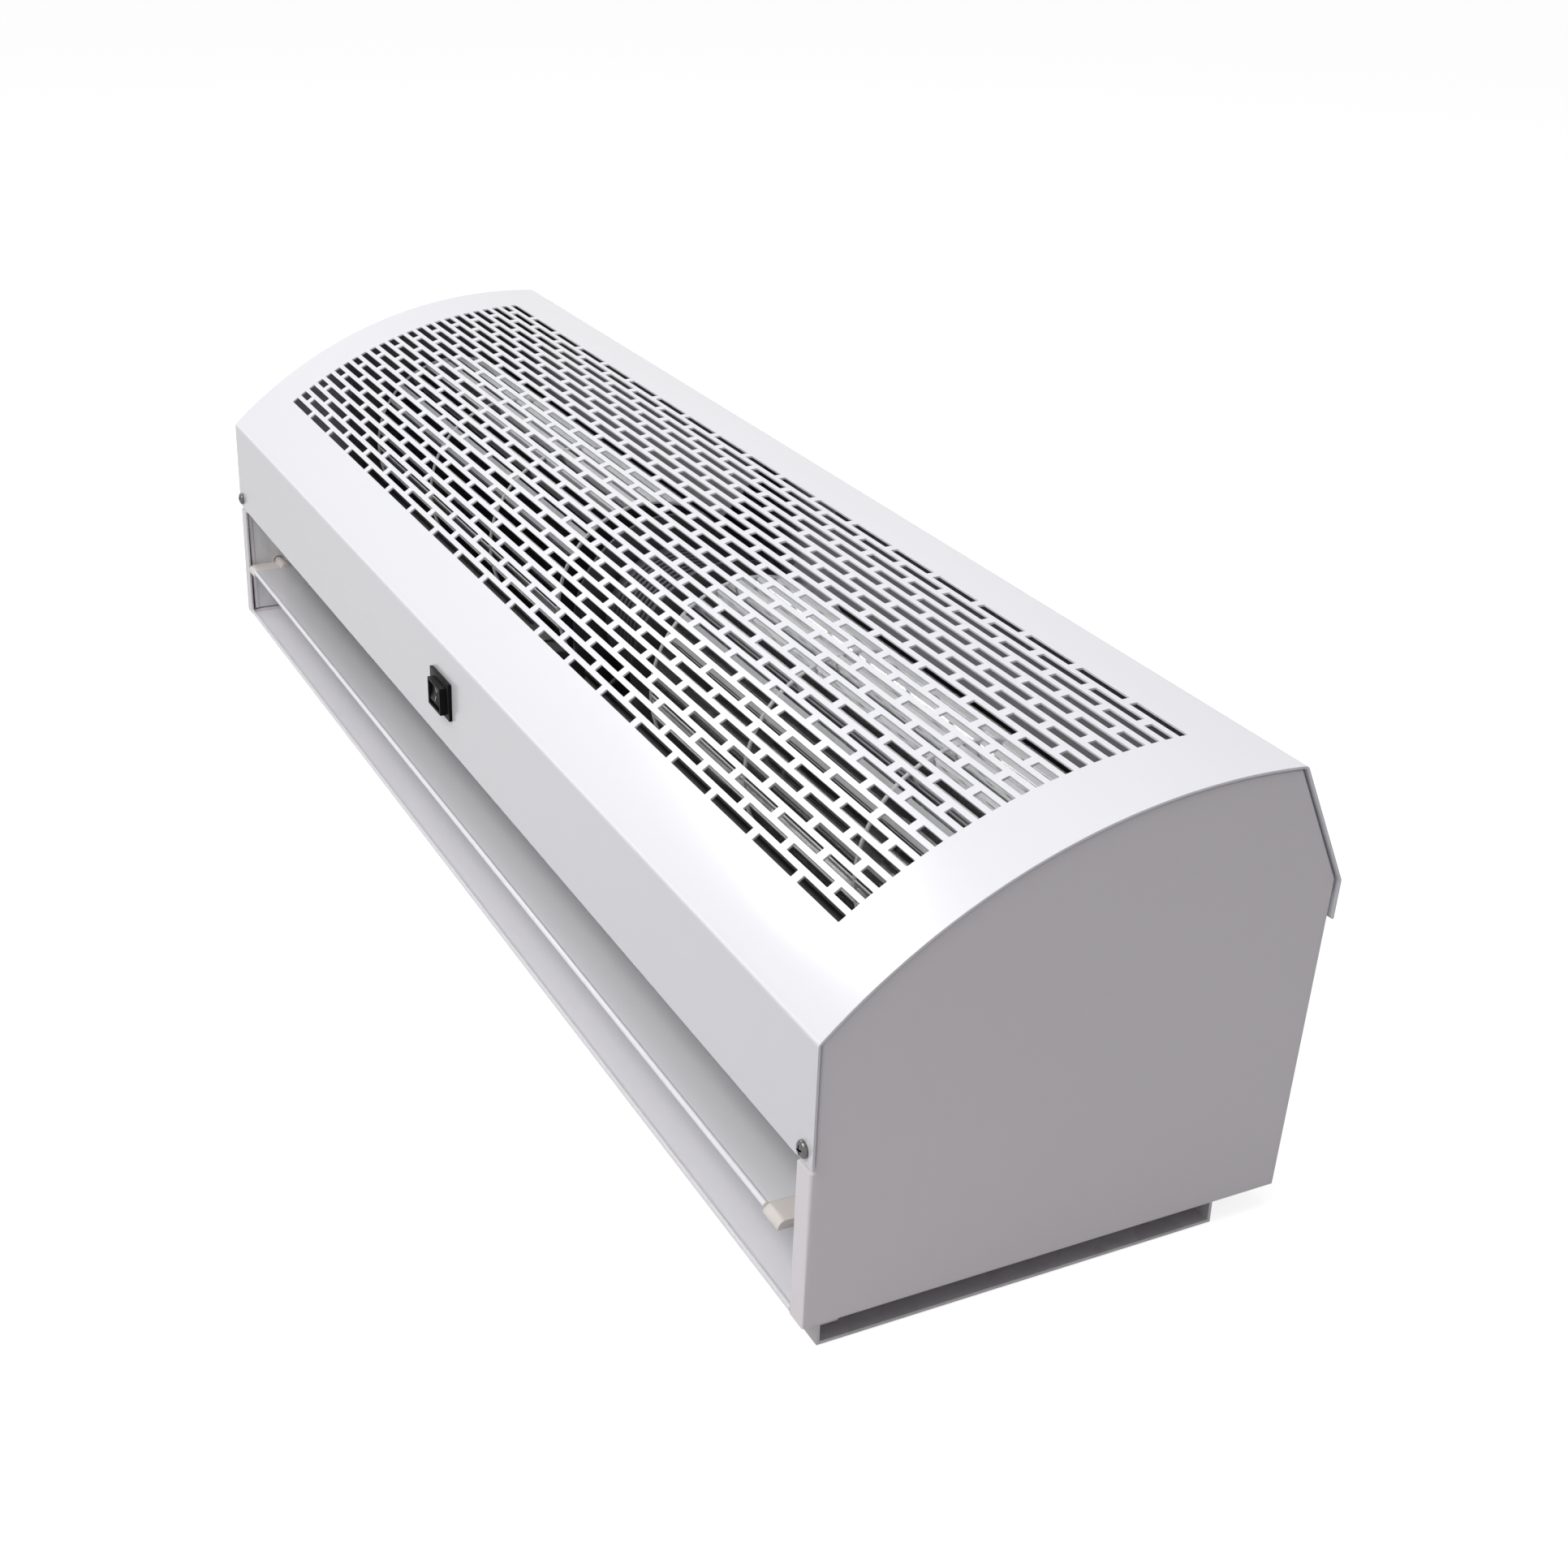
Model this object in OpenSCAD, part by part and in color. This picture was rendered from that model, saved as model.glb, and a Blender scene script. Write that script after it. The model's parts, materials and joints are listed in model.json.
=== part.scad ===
// Door air curtain, 0.9 m, lying on its wall plate as it is stored.
// X runs along the unit, the air outlet faces -Y, the slotted intake faces +Z.
// The origin is the middle of the wall plate's mounting face.
// Sections are drawn in (y, z), with y from the outlet face and z from the underside of the pan.

/* [Body] */
// Overall length of the unit
body_l = 900; // [700:10:1200]
// Height of the front crease, where the arch begins
crease_z = 140; // [132:1:146]
// How far the front leans back over its height
front_lean = 2; // [0:0.5:4]
// Depth at the rear crease, the widest point
body_d = 257.5; // [252:0.5:262]
// Height of the rear crease
rear_crease_z = 157.5; // [152:0.5:162]
// Depth at the bottom of the rear wall
base_d = 247.5; // [244:0.5:250]
// Depth at which the arch meets the rear slope
arch_end_y = 230; // [226:1:234]
// Height at which the arch meets the rear slope
arch_end_z = 217.5; // [212:0.5:220]
// Radius of the arched intake
arch_r = 294; // [280:2:320]
// Thickness of the sheet steel
sheet = 1.2; // [0.8:0.1:1.5]

/* [Intake grille] */
// Number of rows of slots across the arch
slot_rows = 25; // [15:2:27]
// Number of full slots in a long row
slots_long = 19; // [9:2:19]
// Pitch of the slots along the unit
slot_pitch = 43; // [38:1:44]
// Pitch of the rows, measured round the arch
row_pitch = 7.24; // [6:0.02:7.4]
// Width of one slot
slot_w = 4.3; // [3:0.1:4.6]
// Bar left between two slots of a row
slot_bar = 5.5; // [4:0.5:8]
// Arc from the front crease to the first row's middle
first_row = 42.3; // [38:0.1:50]

/* [Outlet] */
// Height of the outlet, up to the cover's lower edge
outlet_z = 79; // [74:1:84]
// Height of the vane's pivot
vane_z = 37.5; // [32:0.5:42]
// Depth of the vane's pivot
vane_y = 23.5; // [20:0.5:26]
// Chord of the vane blade
vane_chord = 44; // [38:1:46]

/* [Fan] */
// Outer radius of the cross-flow wheels
wheel_r = 60; // [57:0.5:60.5]
// Depth of the wheels' axis
wheel_y = 157; // [156:0.5:159]
// Height of the wheels' axis
wheel_z = 121; // [120:0.5:122]
// Blades round each wheel
blade_count = 30; // [20:1:36]
// Length of one ring-to-ring segment of a wheel
segment_l = 118; // [80:1:118]

/* [Wall plate] */
// Depth of the plate's channel, which holds the pan off the wall
plate_h = 12; // [12:1:16]
// Width of the plate
plate_w = 204; // [190:2:210]
// Spacing of the anchor holes along the unit
anchor_x = 700; // [500:10:760]
// Spacing of the anchor holes across the plate
anchor_y = 120; // [80:5:140]
// Radius of an anchor hole
anchor_r = 4.5; // [3:0.1:5.5]

/* [Hidden] */
$fn = 64;
half_l = body_l / 2;
eps = 0.5;                       // extra length of a cut, so that no skin is left
plate_t = 1.5;
plate_front_y = 8;               // plate's front edge, from the outlet face
origin_y = plate_front_y + plate_w / 2;
plate_inset = 3;                 // plate ends inside the body's ends
cover_gap = 1;                   // dark gap between cover and end plate
end_recess = 1;                  // end plates sit this far inside the cover's ends
flange = 12;                     // returned edge of the end plates
end_x = half_l - end_recess;     // outer face of an end plate
pan_inset = sheet + 0.2;         // rear wall of the pan tucks under the cover
pan_x = end_x - 2;               // the pan ends behind the end plates' faces
lip_z = 3.6;                     // height of the pan's front lip
lip_x = end_x - flange - 0.3;    // the lip ends beside the end plates' front edges
joggle_z = outlet_z - 0.6;       // below this the end plate comes out flush with the cover
cover_rear_z = 138.5;            // the cover's rear edge
pan_top_z = 151;
hole_slack = 0.3;

// arch centre, from the two points it passes through
p_front = [front_lean, crease_z];
p_rear = [arch_end_y, arch_end_z];
chord = p_rear - p_front;
arch_rise = sqrt(arch_r * arch_r - (chord * chord) / 4);
arch_c = (p_front + p_rear) / 2 + arch_rise * [chord[1], -chord[0]] / norm(chord);
arch_a0 = atan2(p_front[1] - arch_c[1], p_front[0] - arch_c[0]);
roof_z = 250;                    // any height above the arch

// wheels
wheel_x0 = 68;                   // inner end of a wheel, from the middle
wheel_x1 = wheel_x0 + 3 * segment_l;
ring_t = 1.2;
rim_w = 2.4;                     // rolled rim of a ring
rim_t = 1.2;
blade_r0 = 48;
blade_r1 = wheel_r - 0.5;
blade_t = 0.9;
blade_curve = 12.4;
blade_seat = [47.85, -4.24];     // centre of a blade's curve
shaft_r = 5;
hub_r = 17;
hub_l = 14;
run_gap = 0.04;                  // radial clearance of what turns
bearing_r = 11;
bearing_l = 9;
seat_r = 17;
seat_lip = 20;

// scroll: an arc tangent to the floor, close to the wheel at its upper end
scroll_t = 1;
scroll_r = 90;
scroll_c = [152, sheet + scroll_t + scroll_r];
scroll_a = 62;
baffle_end = [225, 205];
bay_x = 46;                      // half width of the motor bay
bearing_plate_x = 430;
foot_w = 6.5;                    // outward foot of a bearing plate

// upper wall of the outlet duct
tongue_front = [front_lean * outlet_z / crease_z + sheet + 10, outlet_z + 2];
tongue_nose = [91, 104];
tongue_a = atan2(tongue_nose[1] - tongue_front[1], tongue_nose[0] - tongue_front[0]);
block_z = tongue_front[1] + (50 - tongue_front[0]) * tan(tongue_a) + (scroll_t + 0.05) / cos(tongue_a);

// motor
motor_r = 44;
motor_l = 74;
boss_r = 15;
boss_l = 9;
damper_r = 24;
bracket_t = 2;
bracket_x = motor_l / 2 + boss_l / 2 + bracket_t / 2;   // middle of a motor bracket
bracket_foot = 12;

// vane
blade_thick = 1.8;
vane_x = -6;                     // the vane sits this far off the middle
cap_x0 = 416;
cap_l = 14;
cap_nose_r = 4.1;
cap_drop = 3.6;                  // underside of a cap's nose, below the pivot
pin_r = 3;
pin_end = 445.4;
pivot_block_l = 6.6;

// side walls of the outlet duct, just inside the end plates' front edges
cheek_x = 440.9;                 // outer face
cheek_t = 1;
cheek_y = 3.4;
cheek_back = 62;
cheek_z = 3.2;
cheek_top = outlet_z - 1;
hem_t = 1.7;                     // hemmed front edge
hem_l = 2.6;

// switch
switch_w = 31;
switch_h = 22;
switch_z = 110.5;
bezel_out = 2;
collar_w = 20.4;
collar_h = 16;
collar_z = 109.5;
collar_out = 5.3;
collar_t = 1.2;
rocker_w = 17;
rocker_h = 10.8;
rocker_sink = 4;                 // pivot lies this far behind the cover's face
rocker_out = 3.7;                // faces meet this far in front of the cover's face
rocker_tilt = 7;                 // half of the rocker's throw
switch_body_w = 27.4;
switch_body_h = 19;
switch_body_l = 24;

screw_r = 2;                     // M4
screw_head_r = 4;
screw_head_l = 2.6;
head_gap = 0.02;                 // paint under a screw's head
screw_z = 87;
screw_x = half_l - 7.6;
rear_screw_z = 147;

grommet_x = 330;
grommet_z = 95;
grommet_r = 10;
rear_lean = atan2(body_d - base_d, rear_crease_z);
front_tilt = atan2(front_lean, crease_z);
lead_r = 1.4;
lead_lap = 0.6;

// ---- helpers ----

// depth of the outer front face and of the outer rear wall at height z
function front_y(z) = front_lean * z / crease_z;
function rear_y(z) = base_d + (body_d - base_d) * z / rear_crease_z;
// direction from the arch's centre to the point s along the arch from the front crease
function arch_angle(s) = arch_a0 - s / arch_r * 180 / PI;

// moves a section drawn in (y, z) to its place and extrudes it from x0 over length l
module along_x(x0, l) {
    translate([x0, -origin_y, plate_h]) rotate([90, 0, 90]) linear_extrude(l) children();
}

// puts a solid drawn about the point (x, y, z) of the section there
module at(x, y, z) {
    translate([x, y - origin_y, z + plate_h]) children();
}

// put a solid that faces -Y square on the leaning front, or on the rear wall, at height z
module on_front(x, z) {
    at(x, front_y(z), z) rotate([-front_tilt, 0, 0]) children();
}

module on_rear(x, z) {
    at(x, rear_y(z), z) rotate([-rear_lean, 0, 0]) rotate([0, 0, 180]) children();
}

// a cylinder along X, about its own middle
module rod_x(r, l, fn = 64) {
    rotate([0, 90, 0]) cylinder(r = r, h = l, center = true, $fn = fn);
}

// a cylinder along Y, starting at the origin and running towards +Y
module rod_y(r, l, fn = 48) {
    rotate([-90, 0, 0]) cylinder(r = r, h = l, $fn = fn);
}

// mirrors a left-hand (-X) part to the right where side is 1
module on_side(side) {
    mirror([side > 0 ? 1 : 0, 0, 0]) children();
}

// offsets edge i of a convex outline inwards, and the corner where edges i-1 and i meet
function unit(v) = v / norm(v);
function inward(a, b) = unit([b[1] - a[1], a[0] - b[0]]);
function corner(a, b, c, d) =
    let (n1 = inward(a, b), n2 = inward(b, c), k = 1 + n1 * n2) b + d * (n1 + n2) / k;
function inset(p, d) = [for (i = [0:len(p) - 1])
    corner(p[(i + len(p) - 1) % len(p)], p[i], p[(i + 1) % len(p)], d)];

// straight faces of the body, clockwise, closed above the arch
outline = [[0, 0],
    [front_y(roof_z), roof_z],
    [arch_end_y - (roof_z - arch_end_z) * (body_d - arch_end_y) / (arch_end_z - rear_crease_z), roof_z],
    [body_d, rear_crease_z],
    [base_d, 0]];

// the body's section, d inside its outer skin
module section(d) {
    intersection() {
        translate(arch_c) circle(r = arch_r - d, $fn = 180);
        polygon(inset(outline, d));
    }
}

// pan-head screw, its head outwards along -Y, from the surface it bears on
module pan_screw(r, head_r, head_l, l) {
    rod_y(r, l, 32);
    difference() {
        translate([0, -head_l, 0]) rod_y(head_r, head_l, 32);
        for (a = [0, 90]) rotate([0, a, 0])
            translate([-head_r * 0.6, -head_l - eps, -0.5]) cube([head_r * 1.2, eps + head_l * 0.45, 1]);
    }
}

// ---- sheet-metal body ----

// one slot: a cutter lying along X, across the skin at arc length s
module slot_cutter(s, x0, l) {
    translate([x0, arch_c[0] - origin_y, arch_c[1] + plate_h]) rotate([arch_angle(s) - 90, 0, 0])
        translate([0, -slot_w / 2, arch_r - sheet - 2]) cube([l, slot_w, sheet + 4]);
}

// rows alternate: a long row holds full slots, the next one starts and ends with a short one
module slot_pattern() {
    full = slot_pitch - slot_bar;
    start = -(slots_long * slot_pitch - slot_bar) / 2;
    short = (full - slot_bar) / 2;
    for (row = [0:slot_rows - 1]) {
        s = first_row + row * row_pitch;
        if (row % 2 == 0) {
            for (i = [0:slots_long - 1]) slot_cutter(s, start + i * slot_pitch, full);
        } else {
            slot_cutter(s, start, short);
            for (i = [0:slots_long - 2]) slot_cutter(s, start + short + slot_bar + i * slot_pitch, full);
            slot_cutter(s, -start - short, short);
        }
    }
}

module front_cover() color("whitesmoke") {
    lip = 9;
    difference() {
        along_x(-half_l, body_l) difference() {
            section(0);
            section(sheet);
            translate([-10, -10]) square([body_d / 2, outlet_z + 10]);
            translate([body_d / 2 - 20, -10]) square([body_d, cover_rear_z + 10]);
        }
        slot_pattern();
        at(-switch_body_w / 2 - 0.1, -10, switch_z - switch_body_h / 2 - 0.1)
            cube([switch_body_w + 0.2, 30, switch_body_h + 0.2]);
        for (x = [-screw_x, screw_x]) {
            on_front(x, screw_z) translate([0, -5, 0]) rod_y(screw_r + hole_slack, 12);
            on_rear(x, rear_screw_z) translate([0, -5, 0]) rod_y(screw_r + hole_slack, 12);
        }
    }
    along_x(-half_l + 14, body_l - 28)
        translate([front_y(outlet_z) + sheet, outlet_z]) square([lip, sheet]);
}

module base_pan() color("gainsboro") {
    floor_y = sheet + 0.4;
    along_x(-pan_x, 2 * pan_x)
        translate([floor_y, 0]) square([rear_y(0) - pan_inset - floor_y, sheet]);
    along_x(-lip_x, 2 * lip_x) {
        square([sheet, lip_z]);
        square([floor_y + 1, sheet]);
    }
}

// the pan's rear wall, a solid of its own: it stands on the floor and tucks in under the cover
module rear_wall() color("gainsboro") {
    difference() {
        along_x(-pan_x, 2 * pan_x)
            polygon([[rear_y(sheet) - pan_inset, sheet], [rear_y(pan_top_z) - pan_inset, pan_top_z],
                [rear_y(pan_top_z) - pan_inset - sheet, pan_top_z],
                [rear_y(sheet) - pan_inset - sheet, sheet]]);
        at(grommet_x, rear_y(grommet_z) - 8, grommet_z) rod_y(grommet_r, 16);
        for (x = [-screw_x, screw_x])
            on_rear(x, rear_screw_z) translate([0, -5, 0]) rod_y(screw_r + hole_slack, 20);
    }
}

// face of an end plate, d inside its own edge: flush below the joggle, inside the cover above it
module end_profile(d) {
    low = 0.1 + d;
    floor_z = sheet + 0.1 + d;
    rear = pan_inset + sheet + 0.2 + d;
    top = joggle_z;
    difference() {
        union() {
            intersection() {
                section(sheet + cover_gap + d);
                translate([0, top - 1]) square([body_d + 20, roof_z]);
                translate([-20, 0]) square([rear_y(top) - rear + 20, roof_z * 2]);
            }
            intersection() {
                section(sheet + cover_gap + d);
                translate([body_d / 2, top - 1]) square([body_d, roof_z]);
                polygon([[0, 0], [0, roof_z], [rear_y(roof_z), roof_z], [rear_y(roof_z) - rear, roof_z],
                    [rear_y(0) - rear, 0]]);
            }
            polygon([[front_y(floor_z) + low, floor_z], [front_y(top) + low, top],
                [rear_y(top) - rear, top], [rear_y(floor_z) - rear, floor_z]]);
        }
        if (d == 0) translate([front_y(top), top]) circle(r = 1.2, $fn = 24);
    }
}

module end_plate(side) color("lightgray") on_side(side) {
    foot_y = 0.12;
    difference() {
        union() {
            along_x(-end_x, sheet) {
                end_profile(0);
                // the face runs down in front of the pan's edge
                translate([foot_y, foot_y]) square([base_d - pan_inset - sheet - 0.2 - foot_y, sheet + 0.5]);
            }
            along_x(-end_x, flange) {
                difference() {
                    end_profile(0);
                    end_profile(sheet);
                }
                // and so does the front edge, beside the pan's lip
                translate([foot_y, foot_y]) square([sheet, sheet + 0.5]);
            }
        }
        on_front(-screw_x, screw_z) translate([0, -5, 0]) rod_y(screw_r + 0.05, 20);
        on_rear(-screw_x, rear_screw_z) translate([0, -5, 0]) rod_y(screw_r + 0.05, 20);
    }
}

module wall_plate() color("silver") {
    l = body_l - 2 * plate_inset;
    lip = 10;
    top = plate_h - 0.4;
    difference() {
        translate([-l / 2, -plate_w / 2, 0]) union() {
            cube([l, plate_w, plate_t]);
            cube([l, plate_t, top]);
            translate([0, 0, top - plate_t]) cube([l, lip, plate_t]);
            translate([0, plate_w - plate_t, 0]) cube([l, plate_t, top]);
        }
        for (x = [-1, 1], y = [-1, 1])
            translate([x * anchor_x / 2, y * anchor_y / 2, -1]) cylinder(r = anchor_r, h = plate_t + 2);
        for (x = [-1, 1])
            translate([x * 260, plate_w / 2 - 6, plate_h / 2]) rod_y(screw_r + 0.7, 12);
    }
}

// Z-section under the pan that drops behind the plate's lip
module hanger_cleat() color("silver") {
    l = body_l - 60;
    y0 = -plate_w / 2 + 16;
    translate([-l / 2, y0, 0]) {
        translate([0, 0, plate_h - plate_t]) cube([l, 18, plate_t]);
        translate([0, 0, plate_h - 6]) cube([l, plate_t, 6]);
        translate([0, -11, plate_h - 6]) cube([l, 12, plate_t]);
    }
}

// angle under the pan that takes the locking screws
module lock_rail() color("silver") {
    l = body_l - 60;
    y1 = plate_w / 2 - plate_t - 0.3;
    difference() {
        translate([-l / 2, 0, 0]) {
            translate([0, y1 - 16, plate_h - plate_t]) cube([l, 16, plate_t]);
            translate([0, y1 - plate_t, 2.5]) cube([l, plate_t, plate_h - 2.5]);
        }
        for (x = [-1, 1]) translate([x * 260, y1 - 6, plate_h / 2]) rod_y(screw_r + 0.05, 12);
    }
}

module lock_screws() color("dimgray") {
    for (x = [-1, 1]) translate([x * 260, plate_w / 2, plate_h / 2])
        rotate([0, 0, 180]) pan_screw(screw_r, screw_head_r, screw_head_l, 9);
}

module cover_screw() {
    translate([0, -head_gap, 0]) pan_screw(screw_r, screw_head_r, screw_head_l, 9);
}

module cover_screws() color("dimgray") {
    for (x = [-screw_x, screw_x]) {
        on_front(x, screw_z) cover_screw();
        on_rear(x, rear_screw_z) cover_screw();
    }
}

// blind rivets through the pan into the end plates' lower flanges, seen from beneath
module pan_rivets() color("darkgray") {
    for (x = [-1, 1], y = [30, 90, 160, 230])
        at(x * (end_x - flange / 2), y, 0) {
            translate([0, 0, -1.2]) cylinder(r1 = 2.2, r2 = 3.2, h = 1.2, $fn = 32);
        }
}

// ---- air path ----

module scroll(side) color("darkgray") on_side(side) {
    x0 = -bearing_plate_x + sheet;
    l = bearing_plate_x - sheet - bay_x;
    tip = scroll_c + (scroll_r + scroll_t / 2) * [cos(scroll_a), sin(scroll_a)];
    along_x(x0, l) {
        // curved wall
        difference() {
            translate(scroll_c) circle(r = scroll_r + scroll_t, $fn = 120);
            translate(scroll_c) circle(r = scroll_r, $fn = 120);
            // keeps the stretch from the tip, round the rear, to the floor
            translate(scroll_c) polygon([[0, 0], 200 * [cos(scroll_a), sin(scroll_a)], [-200, 200],
                [-200, -200], [0, -200]]);
        }
        // flat foot on the pan's floor, and the baffle up to the arch
        translate([scroll_c[0] - 60, sheet]) square([60, scroll_t]);
        polygon([tip + [0.45, -0.4], baffle_end + [0.7, -0.7],
            baffle_end + [-0.3, 0.3], tip + [-0.45, 0.4]]);
    }
}

// upper wall of the outlet duct, with its rolled nose close to the wheels
module tongue_plate() color("gainsboro") {
    front = tongue_front;
    nose = tongue_nose;
    dir = unit(nose - front);
    up = [-dir[1], dir[0]];
    along_x(-bearing_plate_x + 2, 2 * bearing_plate_x - 4) {
        polygon([front, nose, nose + scroll_t * up, front + scroll_t * up]);
        difference() {
            translate(nose + 3 * up) circle(r = 3, $fn = 32);
            translate(nose + 3 * up) circle(r = 3 - scroll_t, $fn = 32);
            translate(nose + 3 * up) rotate(atan2(dir[1], dir[0])) translate([-6, -2]) square([6, 4]);
        }
        translate(front) square([scroll_t, 8]);
    }
}

// side wall of the outlet duct: a sheet with a hemmed front edge, its rear end folded to the end plate
module duct_cheek(side) color("gainsboro") on_side(side) {
    wall = -end_x + sheet;
    h = cheek_top - cheek_z;
    hem_h = joggle_z - 1.5 - cheek_z;
    difference() {
        translate([0, -origin_y, plate_h + cheek_z]) {
            translate([-cheek_x, cheek_y + hem_l, 0]) cube([cheek_t, cheek_back - cheek_y - hem_l, h]);
            translate([-cheek_x, cheek_y, 0]) cube([hem_t, hem_l, hem_h]);
            translate([wall, cheek_back - cheek_t, 0]) cube([-cheek_x - wall + cheek_t, cheek_t, h]);
            translate([wall, cheek_back - cheek_t, 0]) cube([cheek_t, 10, h]);
        }
        at(-cheek_x, vane_y, vane_z) rod_x(pin_r + 0.6, 8, 48);
    }
}

// bulkhead that carries a wheel's outer bearing
module bearing_plate(side) color("gainsboro") on_side(side) {
    difference() {
        along_x(-bearing_plate_x, sheet) difference() {
            intersection() {
                section(8);
                translate([62, 4]) square([180, 210]);
            }
            translate([62, 4]) polygon([[0, 0], [0, 210], [28, 210]]);
        }
        at(-bearing_plate_x, wheel_y, wheel_z) rod_x(seat_r + 0.05, 10);
    }
    // foot on the pan
    along_x(-bearing_plate_x - foot_w, foot_w) translate([66, sheet]) square([164, sheet]);
    along_x(-bearing_plate_x, sheet) translate([66, sheet]) square([164, 10]);
}

// panel that closes the motor bay towards the outlet, between the two scrolls
module bay_panel() color("darkgray") {
    along_x(-bracket_x + 3, 2 * bracket_x - 6) {
        translate([92, sheet]) square([sheet, 100]);
        translate([92 + sheet - 14, sheet]) square([14, sheet]);
    }
}

// ---- fan ----

// one curved blade, in the wheel's own section
module blade_shape() {
    intersection() {
        difference() {
            translate(blade_seat) circle(r = blade_curve + blade_t / 2, $fn = 48);
            translate(blade_seat) circle(r = blade_curve - blade_t / 2, $fn = 48);
        }
        difference() {
            circle(r = blade_r1, $fn = 96);
            circle(r = blade_r0, $fn = 96);
        }
        translate([blade_r0 - 12, blade_seat[1] + 2]) square([40, 18 - blade_seat[1]]);
    }
}

module impeller(side) color("silver") on_side(side) {
    translate([-wheel_x1, wheel_y - origin_y, wheel_z + plate_h]) rotate([90, 0, 90]) {
        for (i = [0:3]) translate([0, 0, i * segment_l - (i == 0 ? 0 : ring_t / (i == 3 ? 1 : 2))])
            linear_extrude(ring_t) difference() {
                circle(r = wheel_r, $fn = 96);
                circle(r = (i == 0 || i == 3) ? shaft_r + run_gap : blade_r0 - 1.5, $fn = 96);
            }
        for (i = [0:3]) translate([0, 0, i * (segment_l - rim_w / 3)])
            linear_extrude(rim_w) difference() {
                circle(r = wheel_r, $fn = 96);
                circle(r = wheel_r - rim_t, $fn = 96);
            }
        for (i = [0:2]) translate([0, 0, i * segment_l + (i == 0 ? ring_t : ring_t / 2)])
            linear_extrude(segment_l - ring_t * (i == 1 ? 1 : 1.5))
                for (k = [0:blade_count - 1]) rotate(k * 360 / blade_count) blade_shape();
    }
}

// clamping hub between a wheel's inner disc and the motor shaft
module hub(side) color("dimgray") on_side(side) {
    at(-wheel_x0 - hub_l / 2, wheel_y, wheel_z) difference() {
        translate([-ring_t, 0, 0]) rod_x(hub_r, hub_l);
        rod_x(shaft_r + run_gap, hub_l * 3);
        translate([-ring_t, 0, 2]) cylinder(r = 2, h = hub_r, $fn = 24);
    }
}

// grub screws that lock the hubs to the motor shaft
module hub_screws() color("dimgray") for (s = [-1, 1])
    at(s * (wheel_x0 + hub_l / 2 + ring_t), wheel_y, wheel_z + shaft_r + run_gap + 0.1) difference() {
        cylinder(r = 2, h = 9, $fn = 24);
        translate([0, 0, 7]) cylinder(r = 1, h = 3, $fn = 6);
    }

module motor_shaft() color("slategray")
    at(0, wheel_y, wheel_z) rod_x(shaft_r, 2 * (wheel_x0 + hub_l));

module stub_shaft(side) color("slategray") on_side(side) {
    at(-bearing_plate_x + 6, wheel_y, wheel_z) rod_x(shaft_r, 30);
    at(-wheel_x1 + ring_t + 2.5, wheel_y, wheel_z) difference() {
        rod_x(hub_r, 5);
        rod_x(shaft_r, 8);
    }
}

module bearing(side) color("goldenrod") on_side(side)
    at(-bearing_plate_x - 0.6, wheel_y, wheel_z) difference() {
        rod_x(bearing_r, bearing_l);
        rod_x(shaft_r + run_gap, bearing_l * 2);
    }

module bearing_seat(side) color("#303030") on_side(side)
    at(-bearing_plate_x + sheet / 2, wheel_y, wheel_z) difference() {
        union() {
            rod_x(seat_r, 7);
            translate([-sheet / 2 - 1.5, 0, 0]) rod_x(seat_lip, 3);
        }
        rod_x(bearing_r + 0.02, 30);
    }

// ---- motor ----

// stator can with cooling ribs, bored for the shaft
module motor_housing() color("dimgray") at(0, wheel_y, wheel_z) difference() {
    union() {
        rod_x(motor_r - 2, motor_l - 16, 96);
        for (i = [-5:5]) translate([i * 5, 0, 0]) rod_x(motor_r, 1.6, 96);
    }
    rod_x(20, motor_l + 20);
    for (a = [45:90:315]) rotate([a, 0, 0]) translate([0, 0, motor_r - 8]) rod_x(2.2, motor_l, 24);
}

// laminated rotor on the shaft, inside the stator
module motor_rotor() color("slategray") at(0, wheel_y, wheel_z) difference() {
    rod_x(19.5, 44);
    rod_x(shaft_r, 60);
}

// the two end bells, one node: each has a bearing boss and carries the tie bolts
module motor_end_bell() color("darkgray") for (s = [-1, 1])
    at(s * (motor_l / 2 - 4), wheel_y, wheel_z) difference() {
        union() {
            rod_x(motor_r - 2, 8, 96);
            translate([s * (4 + boss_l / 2), 0, 0]) rod_x(boss_r, boss_l);
        }
        rod_x(shaft_r + run_gap, 60);
        for (a = [45:90:315]) rotate([a, 0, 0]) translate([0, 0, motor_r - 8]) rod_x(2.2, 30, 24);
        for (a = [0:45:315]) rotate([a, 0, 0]) translate([0, 0, 26]) rod_x(4, 30, 32);
    }

module motor_tie_bolts() color("silver") for (a = [45:90:315])
    at(0, wheel_y, wheel_z) rotate([a, 0, 0]) translate([0, 0, motor_r - 8]) {
        rod_x(2, motor_l, 24);
        for (s = [-1, 1]) translate([s * (motor_l / 2 + 1.5), 0, 0]) rod_x(3.6, 3, 6);
    }

module motor_damper(side) color("#303030") on_side(side)
    at(-motor_l / 2 - boss_l / 2, wheel_y, wheel_z) difference() {
        rod_x(damper_r, boss_l - 1);
        rod_x(boss_r, boss_l * 3);
    }

// round-topped plate that holds a damper ring and closes the end of the scroll
module motor_bracket(side) color("silver") on_side(side) {
    x = -bracket_x;
    difference() {
        union() {
            along_x(x - bracket_t / 2, bracket_t) {
                translate([wheel_y, wheel_z]) circle(r = wheel_r, $fn = 96);
                translate([wheel_y - wheel_r, sheet]) square([2 * wheel_r, wheel_z - sheet]);
            }
            along_x(x, bracket_foot) translate([wheel_y - 46, sheet]) square([92, bracket_t]);
        }
        at(x, wheel_y, wheel_z) rod_x(damper_r, 20);
        for (y = [-30, 30]) at(x + 7, wheel_y + y, 0) cylinder(r = 2, h = 8, $fn = 32);
    }
}

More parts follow.
